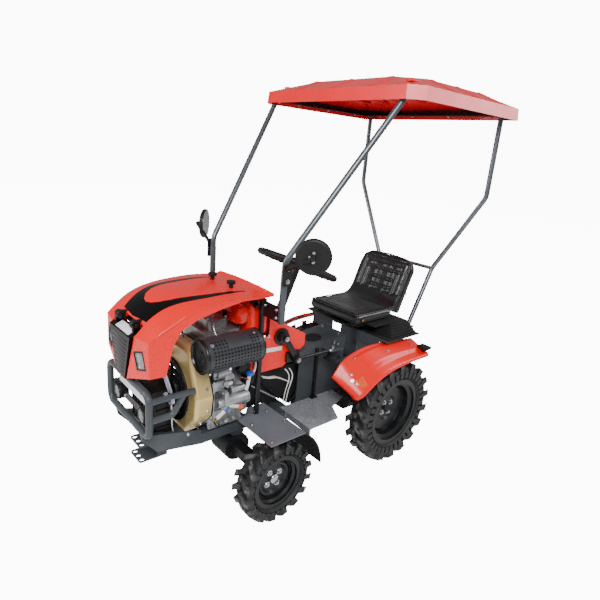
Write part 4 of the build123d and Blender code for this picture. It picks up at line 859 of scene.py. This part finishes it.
def pod_lamps():
    """Square lamps in the nose: black frame, two columns of reflectors, one clear pane."""
    for side, sign in SIDES:
        middle = Matrix.Translation((1196.0, sign * 131, 714))
        turn = middle @ Matrix.Rotation(sign * math.radians(10), 4, "Z")
        turn = turn @ Matrix.Rotation(sign * math.radians(17), 4, "X")
        casing, mirror_cups, pane = bmesh.new(), bmesh.new(), bmesh.new()
        block(casing, (-16, -27.5, -33.5), (-10, 27.5, 33.5), edge=1.0)
        for y in (-1, 1):
            block(casing, (-12, y * 25.5 - 2.5, -33.5), (4, y * 25.5 + 2.5, 33.5), edge=1.2)
            block(casing, (-12, -27.5, y * 31.5 - 2.5), (4, 27.5, y * 31.5 + 2.5), edge=1.2)
        block(casing, (-12, -1.2, -31), (-2, 1.2, 31), edge=0.4)
        for row in (-20, 0, 20):
            for column in (-11.5, 11.5):
                cup = [(2.5, -8), (6, -6), (9.3, -1.5), (10, -1.5)]
                turned(mirror_cups, cup, (0, column, row), AHEAD, steps=20)
                barrel(mirror_cups, (-8, column, row), (-5, column, row), 2.6, sides=12, edge=0.6)
        block(pane, (-0.4, -23.4, -29.4), (1.2, 23.4, 29.4), edge=0.5)
        for mesh in (casing, mirror_cups, pane):
            bmesh.ops.transform(mesh, matrix=turn, verts=mesh.verts)
        finished(f"pod_lamp_case_{side}", casing, moulded_black, "hood")
        finished(f"pod_lamp_reflectors_{side}", mirror_cups, silver_bezel, "hood")
        finished(f"pod_lamp_pane_{side}", pane, lens_clear, "hood",
                 stands_for=("hood_lamps",) if sign > 0 else ())


def guard_lamps():
    """Round work lamps on the guard: finned black body, ring, seven reflectors and a clear front."""
    for side, sign in SIDES:
        middle = Vector((GUARD_LAMP_X, sign * GUARD_LAMP_Y, GUARD_LAMP_Z))

        def behind(x, up=0):
            return middle + Vector((x, 0, up))

        ring, cups, pane, fins = bmesh.new(), bmesh.new(), bmesh.new(), bmesh.new()
        rim = [(31.5, -8), (32.2, 0), (30.5, 4), (27, 4.6), (25.6, 2.5), (25.4, -3)]
        turned(ring, rim, middle, AHEAD)
        barrel(ring, behind(-6), behind(-4), 26, sides=32)
        for count in range(7):
            angle = FULL_TURN * count / 6
            reach = 0 if count == 6 else 16.2
            spot = middle + Vector((0, reach * math.cos(angle), reach * math.sin(angle)))
            turned(cups, [(1.8, -4), (4.5, -2.6), (7.6, 1.2), (8.2, 1.2)], spot, AHEAD, steps=18)
            barrel(cups, spot + Vector((-4, 0, 0)), spot + Vector((-1.5, 0, 0)), 2.0, sides=10, edge=0.5)
        turned(pane, [(25.3, 1.8), (24, 2.6), (12, 3.6), (0, 3.9)], middle, AHEAD)
        for count in range(5):
            x = -32 + count * 3.4
            barrel(fins, behind(x), behind(x + 1.4), 33.0, sides=32)
        barrel(fins, behind(-27, -33), behind(-27, -16), 5, sides=16)
        finished(f"guard_lamp_ring_{side}", ring, moulded_black)
        finished(f"guard_lamp_reflectors_{side}", cups, silver_bezel)
        finished(f"guard_lamp_pane_{side}", pane, lens_clear, stands_for=("guard_lamps",) if sign > 0 else ())
        finished(f"guard_lamp_fins_{side}", fins, black_powder)


hood_trim()
pod_lamps()
guard_lamps()


# Engine
def shroud_bolts():
    """Zinc bolts round the shroud's rim, and the spoked starter dish in front of the fan."""
    skin = surface_of("fan_shroud")
    mesh = bmesh.new()
    for height in (392, 470, 560, 640):
        for _, sign in SIDES:
            spot, facing = landing(skin, (958, sign * 500, height), (0, -sign, 0))
            bolt(mesh, spot, facing, 9.0)
    for y in (-90, -20, 60):
        spot, facing = landing(skin, (960, y, 900), DOWN)
        bolt(mesh, spot, facing, 9.0)
    finished("shroud_bolts", mesh, zinc)
    recoil = bmesh.new()
    front, height = 1018, 505
    turned(recoil, [(54, 6), (50, 13), (40, 16), (24, 17), (20, 21), (0, 21)], (1011, 0, height), AHEAD)
    for count in range(8):
        angle = FULL_TURN * count / 8
        hub, rim = ((front, reach * math.cos(angle), height + reach * math.sin(angle)) for reach in (50, 110))
        bar(recoil, hub, rim, 7, 4)
    finished("recoil_starter", recoil, moulded_black)


ENGINE_SIDE = 118


def engine_covers():
    """Cast covers on the engine's left side, with their bosses and ribs."""
    mesh = bmesh.new()
    for lo, hi, edge in (((770, ENGINE_SIDE, 352), (926, 134, 430), 6), ((760, 120, 436), (922, 132, 470), 5),
                         ((818, ENGINE_SIDE, 520), (926, 150, 562), 7),
                         ((848, ENGINE_SIDE, 566), (912, 142, 606), 6)):
        block(mesh, lo, hi, edge)
    for x in (776, 806, 836, 866, 896, 920):
        barrel(mesh, (x, 130, 368), (x, 139, 368), 7, sides=20, edge=1.5)
        barrel(mesh, (x, 128, 458), (x, 136, 458), 6, sides=20, edge=1.2)
    for x in (790, 822, 854, 886):
        bar(mesh, (x, 134, 376), (x + 10, 134, 424), 5, 6, edge=1.5)
    finished("engine_covers", mesh, die_cast)


def electric_starter():
    """Starter motor with its end caps, solenoid and flange."""
    mesh = bmesh.new()
    y, z = 164, 478
    barrel(mesh, (776, y, z), (884, y, z), 27, sides=40, edge=4)
    barrel(mesh, (884, y, z), (908, y, z), 22, 17, sides=40, edge=3)
    barrel(mesh, (770, y, z), (778, y, z), 29, sides=40, edge=2)
    barrel(mesh, (786, 160, 518), (846, 160, 518), 14, sides=32, edge=3)
    block(mesh, (868, 134, 448), (886, 186, 530), edge=5)
    for height in (456, 522):
        bolt(mesh, (886, 172, height), AHEAD, 10)
    finished("electric_starter", mesh, die_cast, stands_for=("starter_motor",))


def injection_pump():
    """Pump, its governor housing and the plain round cover beside them."""
    mesh = bmesh.new()
    barrel(mesh, (838, 132, 594), (900, 132, 594), 25, sides=36, edge=5)
    barrel(mesh, (900, 132, 594), (918, 132, 594), 19, sides=36, edge=3)
    barrel(mesh, (846, 120, 640), (846, 152, 640), 15, sides=28, edge=3)
    block(mesh, (826, 124, 556), (866, 152, 586), edge=5)
    barrel(mesh, (864, ENGINE_SIDE, 548), (864, 158, 548), 12, sides=28, edge=2)
    finished("injection_pump", mesh, die_cast)
    cover = bmesh.new()
    turned(cover, [(17, 0), (17, 2.5), (15.5, 3.5), (0, 3.8)], (846, 150, 541), (0, 1, 0))
    finished("blank_round_cover", cover, silver_bezel)


def filter_and_caps():
    """Dark mouldings on the engine: filter, caps and the fuel filler's cap."""
    dark = bmesh.new()
    block(dark, (826, 149, 524), (868, 153, 560), edge=2)
    barrel(dark, (754, 122, 536), (754, 158, 536), 24, sides=36, edge=4)
    barrel(dark, (796, 128, 604), (796, 168, 604), 19, sides=32, edge=3)
    block(dark, (744, 110, 560), (772, 150, 606), edge=6)
    barrel(dark, (790, 30, 782), (790, 30, 806), 20, sides=32, edge=4)
    finished("filter_and_caps", dark, moulded_black)


def engine_bolts():
    """Bolts of the covers and of the cylinder head."""
    nuts = bmesh.new()
    for spot in ((820, 134, 404), (912, 134, 404), (778, 132, 444), (914, 132, 528), (832, 150, 572),
                 (900, 142, 600), (858, 142, 574), (776, 134, 424), (842, 134, 362), (884, 134, 362),
                 (906, 150, 556), (824, 150, 526)):
        bolt(nuts, spot, (0, 1, 0), 8.0)
    for x in (806, 884):
        for y in (-46, 46):
            bolt(nuts, (x, y, 782), UP, 10.0)
    finished("engine_bolts_left", nuts, zinc)


def engine_pipes():
    """Injector pipe, return pipe, breather hose and dipstick pipe."""
    tube("injector_pipe", [(846, 142, 650), (846, 150, 676), (868, 128, 700), (886, 92, 742), (882, 70, 790),
                           (858, 40, 792), (848, 20, 784)], 3.0, zinc)
    tube("return_pipe", [(800, 150, 600), (796, 158, 646), (780, 118, 688), (772, 96, 760), (760, 60, 800),
                         (742, 40, 790)], 4.0, soft_rubber)
    tube("breather_hose", [(826, -40, 774), (806, -70, 800), (780, -96, 770), (770, -110, 700),
                           (764, -112, 620)], 8.0, soft_rubber)
    tube("dipstick_pipe", [(906, 140, 430), (914, 152, 470), (918, 150, 530), (914, 146, 566)], 4.5, zinc)


def engine_looms():
    """Wires with coloured sleeves and connectors along the starter."""
    looms = {
        "loom_white": ([(912, 174, 424), (900, 180, 436), (884, 178, 446)], 9.0, natural_nylon),
        "loom_blue": ([(884, 178, 446), (876, 180, 456), (866, 180, 470)], 8.0, paint_blue),
        "loom_white_far": ([(866, 182, 470), (846, 188, 462), (824, 182, 452)], 8.0, natural_nylon),
        "loom_orange": ([(824, 182, 452), (814, 182, 446), (802, 180, 442)], 9.0, paint_orange),
        "loom_tail": ([(802, 180, 442), (786, 178, 452), (776, 172, 486), (772, 168, 520)], 3.2, lens_red),
        "loom_upper": ([(778, 168, 506), (770, 170, 520), (766, 168, 548), (758, 160, 566)], 7.5,
                       natural_nylon),
        "loom_red": ([(800, 150, 560), (786, 166, 560), (768, 170, 548)], 3.0, lens_red),
        "loom_white_wire": ([(766, 164, 556), (736, 160, 560), (716, 150, 580), (704, 120, 600)], 5.0,
                            natural_nylon),
        "loom_black": ([(912, 170, 420), (922, 160, 400), (910, 146, 380), (880, 142, 360)], 3.0,
                       soft_rubber),
        "loom_brass": ([(920, 172, 408), (916, 172, 414), (912, 174, 422)], 6.0, brass),
    }
    for name, (points, radius, material) in looms.items():
        tube(name, points, radius, material)
    plug = bmesh.new()
    block(plug, (856, 166, 474), (876, 190, 486), edge=3, turn=Matrix.Rotation(0.5, 4, "Y"))
    block(plug, (742, 148, 560), (768, 172, 576), edge=3)
    finished("loom_plugs", plug, paint_blue)


def crankcase_ribs():
    """Cooling ribs, bosses and the air cleaner on the hidden right side of the engine."""
    mesh = bmesh.new()
    for count in range(6):
        z = 400 + count * 26
        block(mesh, (770, -133, z), (924, -124, z + 7), edge=2)
    for x in (790, 850, 910):
        barrel(mesh, (x, -124, 380), (x, -136, 380), 9, sides=24, edge=2)
    barrel(mesh, (850, -124, 556), (850, -150, 556), 30, sides=36, edge=5)
    finished("crankcase_ribs", mesh, die_cast)
    intake = bmesh.new()
    turned(intake, [(0, 0), (52, 0), (56, 5), (56, 40), (50, 52), (30, 58), (0, 58)], (858, -128, 700),
           (0, -1, 0))
    barrel(intake, (858, -60, 706), (858, -130, 706), 22, sides=28)
    finished("air_cleaner", intake, moulded_black)


def nose_inside():
    """Dark ribbed box behind the guard, its cable, and the red tray in front of the tank."""
    mesh = bmesh.new()
    block(mesh, (1060, -96, 366), (1138, 96, 560), edge=6)
    for count in range(7):
        y = -78 + count * 26
        block(mesh, (1136, y - 4, 380), (1143, y + 4, 548), edge=2)
        block(mesh, (1074, 94, 380 + count * 24), (1126, 101, 388 + count * 24), edge=2)
    finished("dark_box", mesh, moulded_black)
    cable = [(1070, 104, 560), (1078, 112, 520), (1066, 116, 470), (1074, 112, 420), (1062, 108, 380)]
    tube("box_cable", cable, 4.0, zinc)
    tray = bmesh.new()
    block(tray, (738, -60, 764), (800, 116, 836), edge=16)
    finished("tank_front", tray, tank_enamel)


nose_inside()
shroud_bolts()
engine_covers()
electric_starter()
injection_pump()
filter_and_caps()
engine_bolts()
engine_pipes()
engine_looms()
crankcase_ribs()


# Guard, posts and mirrors
def guard_fittings():
    """Flat strap with its clamp and bolt, and the bolts of the blank plate and lamp bar."""
    strap = bmesh.new()
    bar(strap, (1134, 168, 690), (1108, 176, 590), 17, 3.0, roll=20)
    barrel(strap, (1112, 178, 560), (1100, 178, 560), 15.5, sides=28)
    finished("stay_strap", strap, lilac_strap)
    bolts = bmesh.new()
    bolt(bolts, (1124, 170, 584), (0.2, 1, 0), 11.0)
    for _, sign in SIDES:
        bolt(bolts, (1175.5, sign * 88, 565), AHEAD, 8.0)
        bolt(bolts, (1175.0, sign * 62, GUARD_LAMP_Z), AHEAD, 9.0)
        bolt(bolts, (1004, sign * 118.5, 352), (0, sign, 0), 9.0)
    finished("guard_bolts", bolts, zinc)


def post_fittings():
    """Sleeves, clamp bars and bolts at the foot of the front posts, and the hood's rests."""
    post_x, post_y, stay_y = 690, 253, 133
    sleeves, bolts, clamps = bmesh.new(), bmesh.new(), bmesh.new()
    for _, sign in SIDES:
        outer, inner = sign * post_y, sign * stay_y
        barrel(sleeves, (post_x, outer, 800), (post_x, outer, 1000), 13.2, sides=32, edge=0.6)
        block(sleeves, (684, sign * 255 - 24, 864), (700, sign * 255 + 6, 878), edge=2)
        for z in (1019, 971):
            bolt(bolts, (post_x, sign * 273.5, z), (0, sign, 0), 11.0)
        for y, z in ((224, 846), (224, 814), (152, 846)):
            bolt(bolts, (694.2, sign * y, z), AHEAD, 10.0)
        bolt(bolts, (703, inner, 700), (1, 0.4 * sign, 0), 9.0)
        bolt(bolts, (699, inner, 366), AHEAD, 8.0)
        barrel(clamps, (post_x, inner, 852), (post_x, inner, 866), 16, sides=28, edge=2)
        block(clamps, (700, inner - 12, 836), (732, inner + 12, 846), edge=2)
        turned(clamps, [(18, 0), (18, 9), (14, 13), (0, 14)], (716, sign * 106, 846), UP)
    finished("post_sleeves", sleeves, slate_powder)
    finished("post_bolts", bolts, zinc)
    finished("hood_rest_clamps", clamps, moulded_black)


def mirror_fittings():
    """Glass in each mirror's rear face, and three screws in its back."""
    share = math.sqrt(0.5)
    mesh, glass = bmesh.new(), bmesh.new()
    for _, sign in SIDES:
        facing = Vector((share, sign * share, 0))
        side_way = facing.cross(Vector(UP))
        middle = Vector((667, sign * 377, 1084))
        for up, across in ((16, 0), (-16, 0), (0, 14)):
            bolt(mesh, middle + facing * 9 + Vector((0, 0, up)) + side_way * across, facing, 7.0)
        turned(glass, [(60, 0), (60, 1.2), (0, 1.6)], middle - facing * 9.2, -facing)
    finished("mirror_screws", mesh, zinc)
    finished("mirror_glass", glass, silver_bezel)


def canopy_trim():
    """Ribs formed in the canopy's slopes, its inner stiffeners, and the bolts through its frame."""
    skin = surface_of("canopy_roof")

    def rib(name, *path):
        raised_strip(name, skin, path, DOWN, 46, 5.0, canopy_abs)

    for side, sign in SIDES:
        for x in (-300, -120, 60):
            rib(f"canopy_rib_{side}_{x + 400}", (x, sign * 452, 1900), (x, sign * 318, 1900))
    for y in (-220, 0, 220):
        rib(f"canopy_front_rib_{y + 400}", (306, y, 1900), (172, y, 1900))
        rib(f"canopy_rear_rib_{y + 400}", (-428, y, 1900), (-296, y, 1900))
    frame_under = 1660.8
    bolts = bmesh.new()
    for x in (-330, -120, 90, 220):
        for _, sign in SIDES:
            bolt(bolts, (x, sign * 444, frame_under), DOWN, 9.0)
    for y in (-330, -110, 110, 330):
        for x in (296, -420):
            bolt(bolts, (x, y, frame_under), DOWN, 9.0)
    finished("canopy_bolts", bolts, zinc)
    liner = bmesh.new()
    for count in range(7):
        y = -360 + count * 120
        block(liner, (-400, y - 14, 1716), (250, y + 14, 1724), edge=3)
    finished("canopy_stiffeners", liner, canopy_abs)


guard_fittings()
post_fittings()
mirror_fittings()
canopy_trim()


# Controls, tunnel and fenders
def lever_and_link():
    """Lever boss on the cover, its crank, the link rod, and the pedal's arm on its foot."""
    side, boss_x, boss_z = 118, 571, 678
    levers = bmesh.new()
    boss = ((side, 126, 38, 40, 2), (126, 150, 25, 36, 4), (150, 160, 15, 32, 2))
    for near, far, radius, sides, edge in boss:
        barrel(levers, (boss_x, near, boss_z), (boss_x, far, boss_z), radius, sides=sides, edge=edge)
    bar(levers, (566, 146, 672), (500, 150, 572), 26, 10)
    barrel(levers, (500, 128, 568), (500, 166, 568), 17, sides=32, edge=3)
    block(levers, (468, side, 548), (540, 130, 600), edge=4)
    barrel(levers, (300, 150, 565), (490, 150, 568), 7.5, sides=24)
    bar(levers, (322, 92, 560), (322, 92, 306), 16, 12)
    block(levers, (306, 84, 303), (340, 108, 312), edge=2)
    finished("lever_and_link", levers, black_powder, stands_for=("controls",))


def control_bolts():
    """Bolts of the lever, the cover, the tunnel and the foot plate, and the link rod's joint."""
    silver = bmesh.new()
    barrel(silver, (304, 150, 565), (284, 150, 565), 9, 7, sides=6, edge=0.8)
    barrel(silver, (278, 150, 560), (278, 150, 586), 7, sides=20, edge=1)
    for spot in ((262, 140, 590), (246, 150, 586), (250, 130, 592)):
        bolt(silver, spot, UP, 9)
    for spot, across in (((571, 160, 678), 12), ((500, 166, 568), 12), ((520, 118.5, 640), 9),
                         ((640, 118.5, 690), 9)):
        bolt(silver, spot, (0, 1, 0), across)
    for y in (58, -58):
        bolt(silver, (150, y, 591), (0.12, 0, 1), 9)
    for x, y in ((210, 96), (330, 112), (200, 262)):
        bolt(silver, (x, y, 304.2), UP, 8)
    finished("control_bolts", silver, zinc)


def ball_joint():
    """Rubber boot over the link rod's ball joint, on its bracket."""
    boot = bmesh.new()
    folds = [(8, 34), (10, 30), (16, 28), (12, 24), (20, 20), (15, 16), (24, 11), (19, 7), (27, 0), (24, -3)]
    turned(boot, folds, (278, 150, 528), UP)
    block(boot, (236, 122, 516), (310, 178, 527), edge=4)
    finished("ball_joint_boot", boot, soft_rubber)
    bracket = bmesh.new()
    bar(bracket, (272, 172, 520), (240, 244, 560), 30, 5, roll=30)
    block(bracket, (214, 96, 560), (300, 166, 566), edge=2)
    finished("joint_bracket", bracket, slate_powder)


def strap_and_cables():
    """Pale pedal strap, two brake cables and the rods beside them, under the console."""
    strap = bmesh.new()
    points = [(662, 120, 512), (628, 121, 500), (590, 121, 494), (556, 121, 478), (512, 121, 452)]
    for a, b in zip(points, points[1:]):
        bar(strap, a, b, 20, 3.2, edge=1.0, roll=90)
    finished("pedal_strap", strap, natural_nylon)
    cables = {"brake_cable_a": [(540, 124, 520), (520, 128, 500), (512, 128, 468), (522, 126, 440),
                                (530, 122, 400), (532, 118, 350)],
              "brake_cable_b": [(520, 128, 520), (498, 132, 496), (500, 132, 462), (512, 130, 430),
                                (516, 124, 390), (516, 118, 345)]}
    for name, points in cables.items():
        tube(name, points, 2.6, natural_nylon)
    tube("pale_rod", [(700, 96, 470), (560, 96, 372)], 4.5, zinc, bend=False)
    tube("dark_rod", [(640, 70, 470), (520, 70, 350)], 7, black_powder, bend=False)


def tunnel_plug_and_stripe():
    """Rubber plug in the tunnel's top, and the blank stripe on each side of the console."""
    skin = surface_of("tunnel_cover")
    spot, facing = landing(skin, (275, 6, 900), (0, 0, -1))
    plug = bmesh.new()
    turned(plug, [(42, 0), (42, 2.5), (38, 4.5), (30, 3.0), (0, 3.0)], spot, facing)
    finished("tunnel_plug", plug, soft_rubber)
    stripe = bmesh.new()
    for _, sign in SIDES:
        block(stripe, (562, sign * 118.4 - 0.5, 616), (650, sign * 118.4 + 0.5, 634), edge=0.3,
              turn=Matrix.Rotation(math.radians(-4), 4, "Y"))
    finished("blank_cover_stripe", stripe, plate_white)


def eased(value, start, end):
    """0 before the start, 1 after the end, smooth between."""
    share = max(0.0, min(1.0, (value - start) / (end - start)))
    return share * share * (3 - 2 * share)


def through(values, share):
    """A smooth curve through (share, value) pairs."""
    last = len(values) - 2
    at = next((n for n in range(last + 1) if share <= values[n + 1][0]), last)
    (a, p), (b, q) = values[at], values[at + 1]
    before = values[at - 1] if at else values[at]
    after = values[at + 2] if at < last else values[at + 1]
    rise_a = (q - before[1]) / (b - before[0]) * (b - a)
    rise_b = (after[1] - p) / (after[0] - a) * (b - a)
    t = (share - a) / (b - a)
    return ((2 * t ** 3 - 3 * t ** 2 + 1) * p + (t ** 3 - 2 * t ** 2 + t) * rise_a
            + (3 * t ** 2 - 2 * t ** 3) * q + (t ** 3 - t ** 2) * rise_b)


def pressed_fenders():
    """Rear fender sheets with the press's soft forms: rounded corner, turned lip and raised middle field."""
    front, rear, low, edge_rise, top_rise = 312.0, -200.0, 408.0, 116.0, 180.0
    outer = [(0.0, 0.0), (0.10, 0.28), (0.30, 0.72), (0.55, 0.94), (1.0, 1.0)]
    inner = [(0.0, 0.42), (0.10, 0.78), (0.30, 0.98), (0.55, 1.0), (1.0, 0.86)]
    both = bmesh.new()
    for _, sign in SIDES:
        sheet = bmesh.new()
        bmesh.ops.create_grid(sheet, x_segments=56, y_segments=30, size=0.5)
        for v in sheet.verts:
            s, t = v.co.x + 0.5, v.co.y + 0.5
            corner = 1 - min(s / 0.08, 1.0)
            tail = 1 - min((1 - s) / 0.05, 1.0)
            cut = 36 * (1 - math.sqrt(1 - corner ** 2)) + 18 * (1 - math.sqrt(1 - tail ** 2))
            x = front - s * (front - rear) + 52.0 * (1 - s) * t
            y = 242 + (130 - cut) * (1 - t)
            z = low + through(outer, s) * edge_rise * (1 - t) + through(inner, s) * top_rise * t
            across_field = eased(t, 0.26, 0.40) * (1 - eased(t, 0.80, 0.90))
            along_field = eased(s, 0.14, 0.26) * (1 - eased(s, 0.9, 0.97))
            z += 10 * across_field * along_field
            z -= 9 * (1 - min(t / 0.05, 1.0)) ** 2
            v.co = Vector((x, sign * y, z))
        faced(sheet, UP)
        join(both, sheet)
    skin = BVHTree.FromBMesh(both)
    sheets = finished("rear_fender_sheets", both, red_enamel, stands_for=("rear_fenders",))
    wall = sheets.modifiers.new("sheet", "SOLIDIFY")
    wall.thickness, wall.offset = 3 * MM, -1
    return skin


def fender_trim():
    """Reflectors and bolts on the rear fenders, and the tail lamps that lie on their rear corners."""
    skin = pressed_fenders()
    lamp_y = 345
    reflectors, bolts, bodies, lenses, plates = (bmesh.new() for _ in range(5))
    for _, sign in SIDES:
        spot, facing = landing(skin, (268, sign * 338, 900), DOWN)
        part = bmesh.new()
        block(part, (-18, -24, 0.2), (18, 24, 3.4), edge=1.2)
        join(reflectors, part, towards(facing, spot))
        for x, y in ((300, 310), (286, 330), (292, 296), (60, 300), (-120, 300), (-185, 262), (246, 262)):
            spot, facing = landing(skin, (x, sign * y, 900), DOWN)
            bolt(bolts, spot, facing, 8.5)
        middle = sign * lamp_y
        spot, _ = landing(skin, (-172, middle, 900), DOWN)
        low = spot.z + 14
        block(bodies, (-198, middle - 28, low), (-148, middle + 28, low + 16), edge=5)
        barrel(bodies, (-173, middle, spot.z), (-173, middle, low + 2), 7, sides=20)
        block(lenses, (-200.5, middle - 24, low + 3), (-196, middle + 24, low + 13), edge=1.5)
        for x, y in ((640, 140), (760, 200), (640, 340), (768, 344), (630, 250)):
            bolt(plates, (x, sign * y, 355), UP, 8.0)
    finished("fender_reflectors", reflectors, amber_lens)
    finished("fender_bolts", bolts, zinc)
    finished("tail_lamp_bodies", bodies, moulded_black, stands_for=("tail_lamps",))
    finished("tail_lamp_lenses", lenses, lens_red)
    finished("fender_plate_bolts", plates, zinc)


def steering_trim():
    """Steering wheel's centre cap and the finger bumps under the rim."""
    tilt = math.radians(67.5)
    axis = Vector((-math.cos(tilt), 0, math.sin(tilt)))
    middle = Vector((407, 0, 950))
    cap = bmesh.new()
    turned(cap, [(37, 14), (38, 20), (34, 25), (16, 28), (0, 28.5)], middle, axis)
    side_way = Vector((0, 1, 0))
    other = axis.cross(side_way)
    for count in range(24):
        angle = FULL_TURN * count / 24
        out = side_way * math.cos(angle) + other * math.sin(angle)
        barrel(cap, middle + out * 177 - axis * 14.5, middle + out * 177 - axis * 8, 6, 8, sides=16, edge=2)
    finished("steering_wheel_trim", cap, moulded_black, "steering_wheel")


lever_and_link()
control_bolts()
ball_joint()
strap_and_cables()
tunnel_plug_and_stripe()
fender_trim()
steering_trim()


# Floor, light and camera
def backdrop():
    """A sheet of paper under the tractor, as white as what surrounds it."""
    mesh = bmesh.new()
    bmesh.ops.create_grid(mesh, x_segments=2, y_segments=2, size=14000.0)
    bmesh.ops.translate(mesh, verts=mesh.verts, vec=(0, 0, -FLOOR_BELOW - 0.5))
    bmesh.ops.transform(mesh, matrix=TO_FRAME, verts=mesh.verts)
    data = stored("studio_floor", mesh)
    data.materials.append(floor_paper())
    linked("studio_floor", data)


def softbox(name, place, aim, size, power):
    """A square soft light aimed at a point."""
    data = bpy.data.lights.new(name, "AREA")
    data.energy = power
    data.size = size
    light = linked(name, data)
    light.location = place
    light.rotation_euler = (Vector(aim) - Vector(place)).to_track_quat("-Z", "Y").to_euler()


def studio():
    """White surroundings with three soft lights, and the camera where the photograph was taken."""
    world = bpy.data.worlds.new("studio")
    world.use_nodes = True
    sky = world.node_tree.nodes["Background"]
    sky.inputs["Color"].default_value = (1.0, 1.0, 1.0, 1.0)
    seen = add(world.node_tree, "ShaderNodeLightPath").outputs["Is Camera Ray"]
    glow = spread(world.node_tree, seen, ROOM_GLOW, BACKDROP_GLOW, 0.0, 1.0)
    world.node_tree.links.new(glow, sky.inputs["Strength"])
    bpy.context.scene.world = world
    softbox("key_light", (2.2, 2.8, 3.4), (0, 0, 0.7), 1.6, 190)
    softbox("fill_light", (3.2, -1.2, 2.2), (0, 0, 0.7), 1.6, 75)
    softbox("rim_light", (-2.6, 1.8, 2.6), (0, 0, 0.8), 1.6, 60)
    # The camera was solved from the photograph: its place, its turn and its focal length in pixels
    place = TO_FRAME @ Vector((1812.5, 1589.9, 1432.2))
    focal_pixels = 483.8
    yaw, pitch, roll = math.radians(227.85), math.radians(16.94), math.radians(4.79)
    ahead = Vector((math.cos(yaw) * math.cos(pitch), math.sin(yaw) * math.cos(pitch), -math.sin(pitch)))
    level = Vector((math.sin(yaw), -math.cos(yaw), 0))
    upright = level.cross(ahead)
    across = math.cos(roll) * level + math.sin(roll) * upright
    up = -math.sin(roll) * level + math.cos(roll) * upright
    data = bpy.data.cameras.new("camera")
    data.sensor_width = 36.0
    data.lens = focal_pixels * data.sensor_width / 600
    data.clip_end = 100
    camera = linked("camera", data)
    camera.matrix_world = Matrix.Translation(place) @ Matrix((across, up, -ahead)).transposed().to_4x4()
    bpy.context.scene.camera = camera


backdrop()
studio()

bpy.context.view_layer.update()
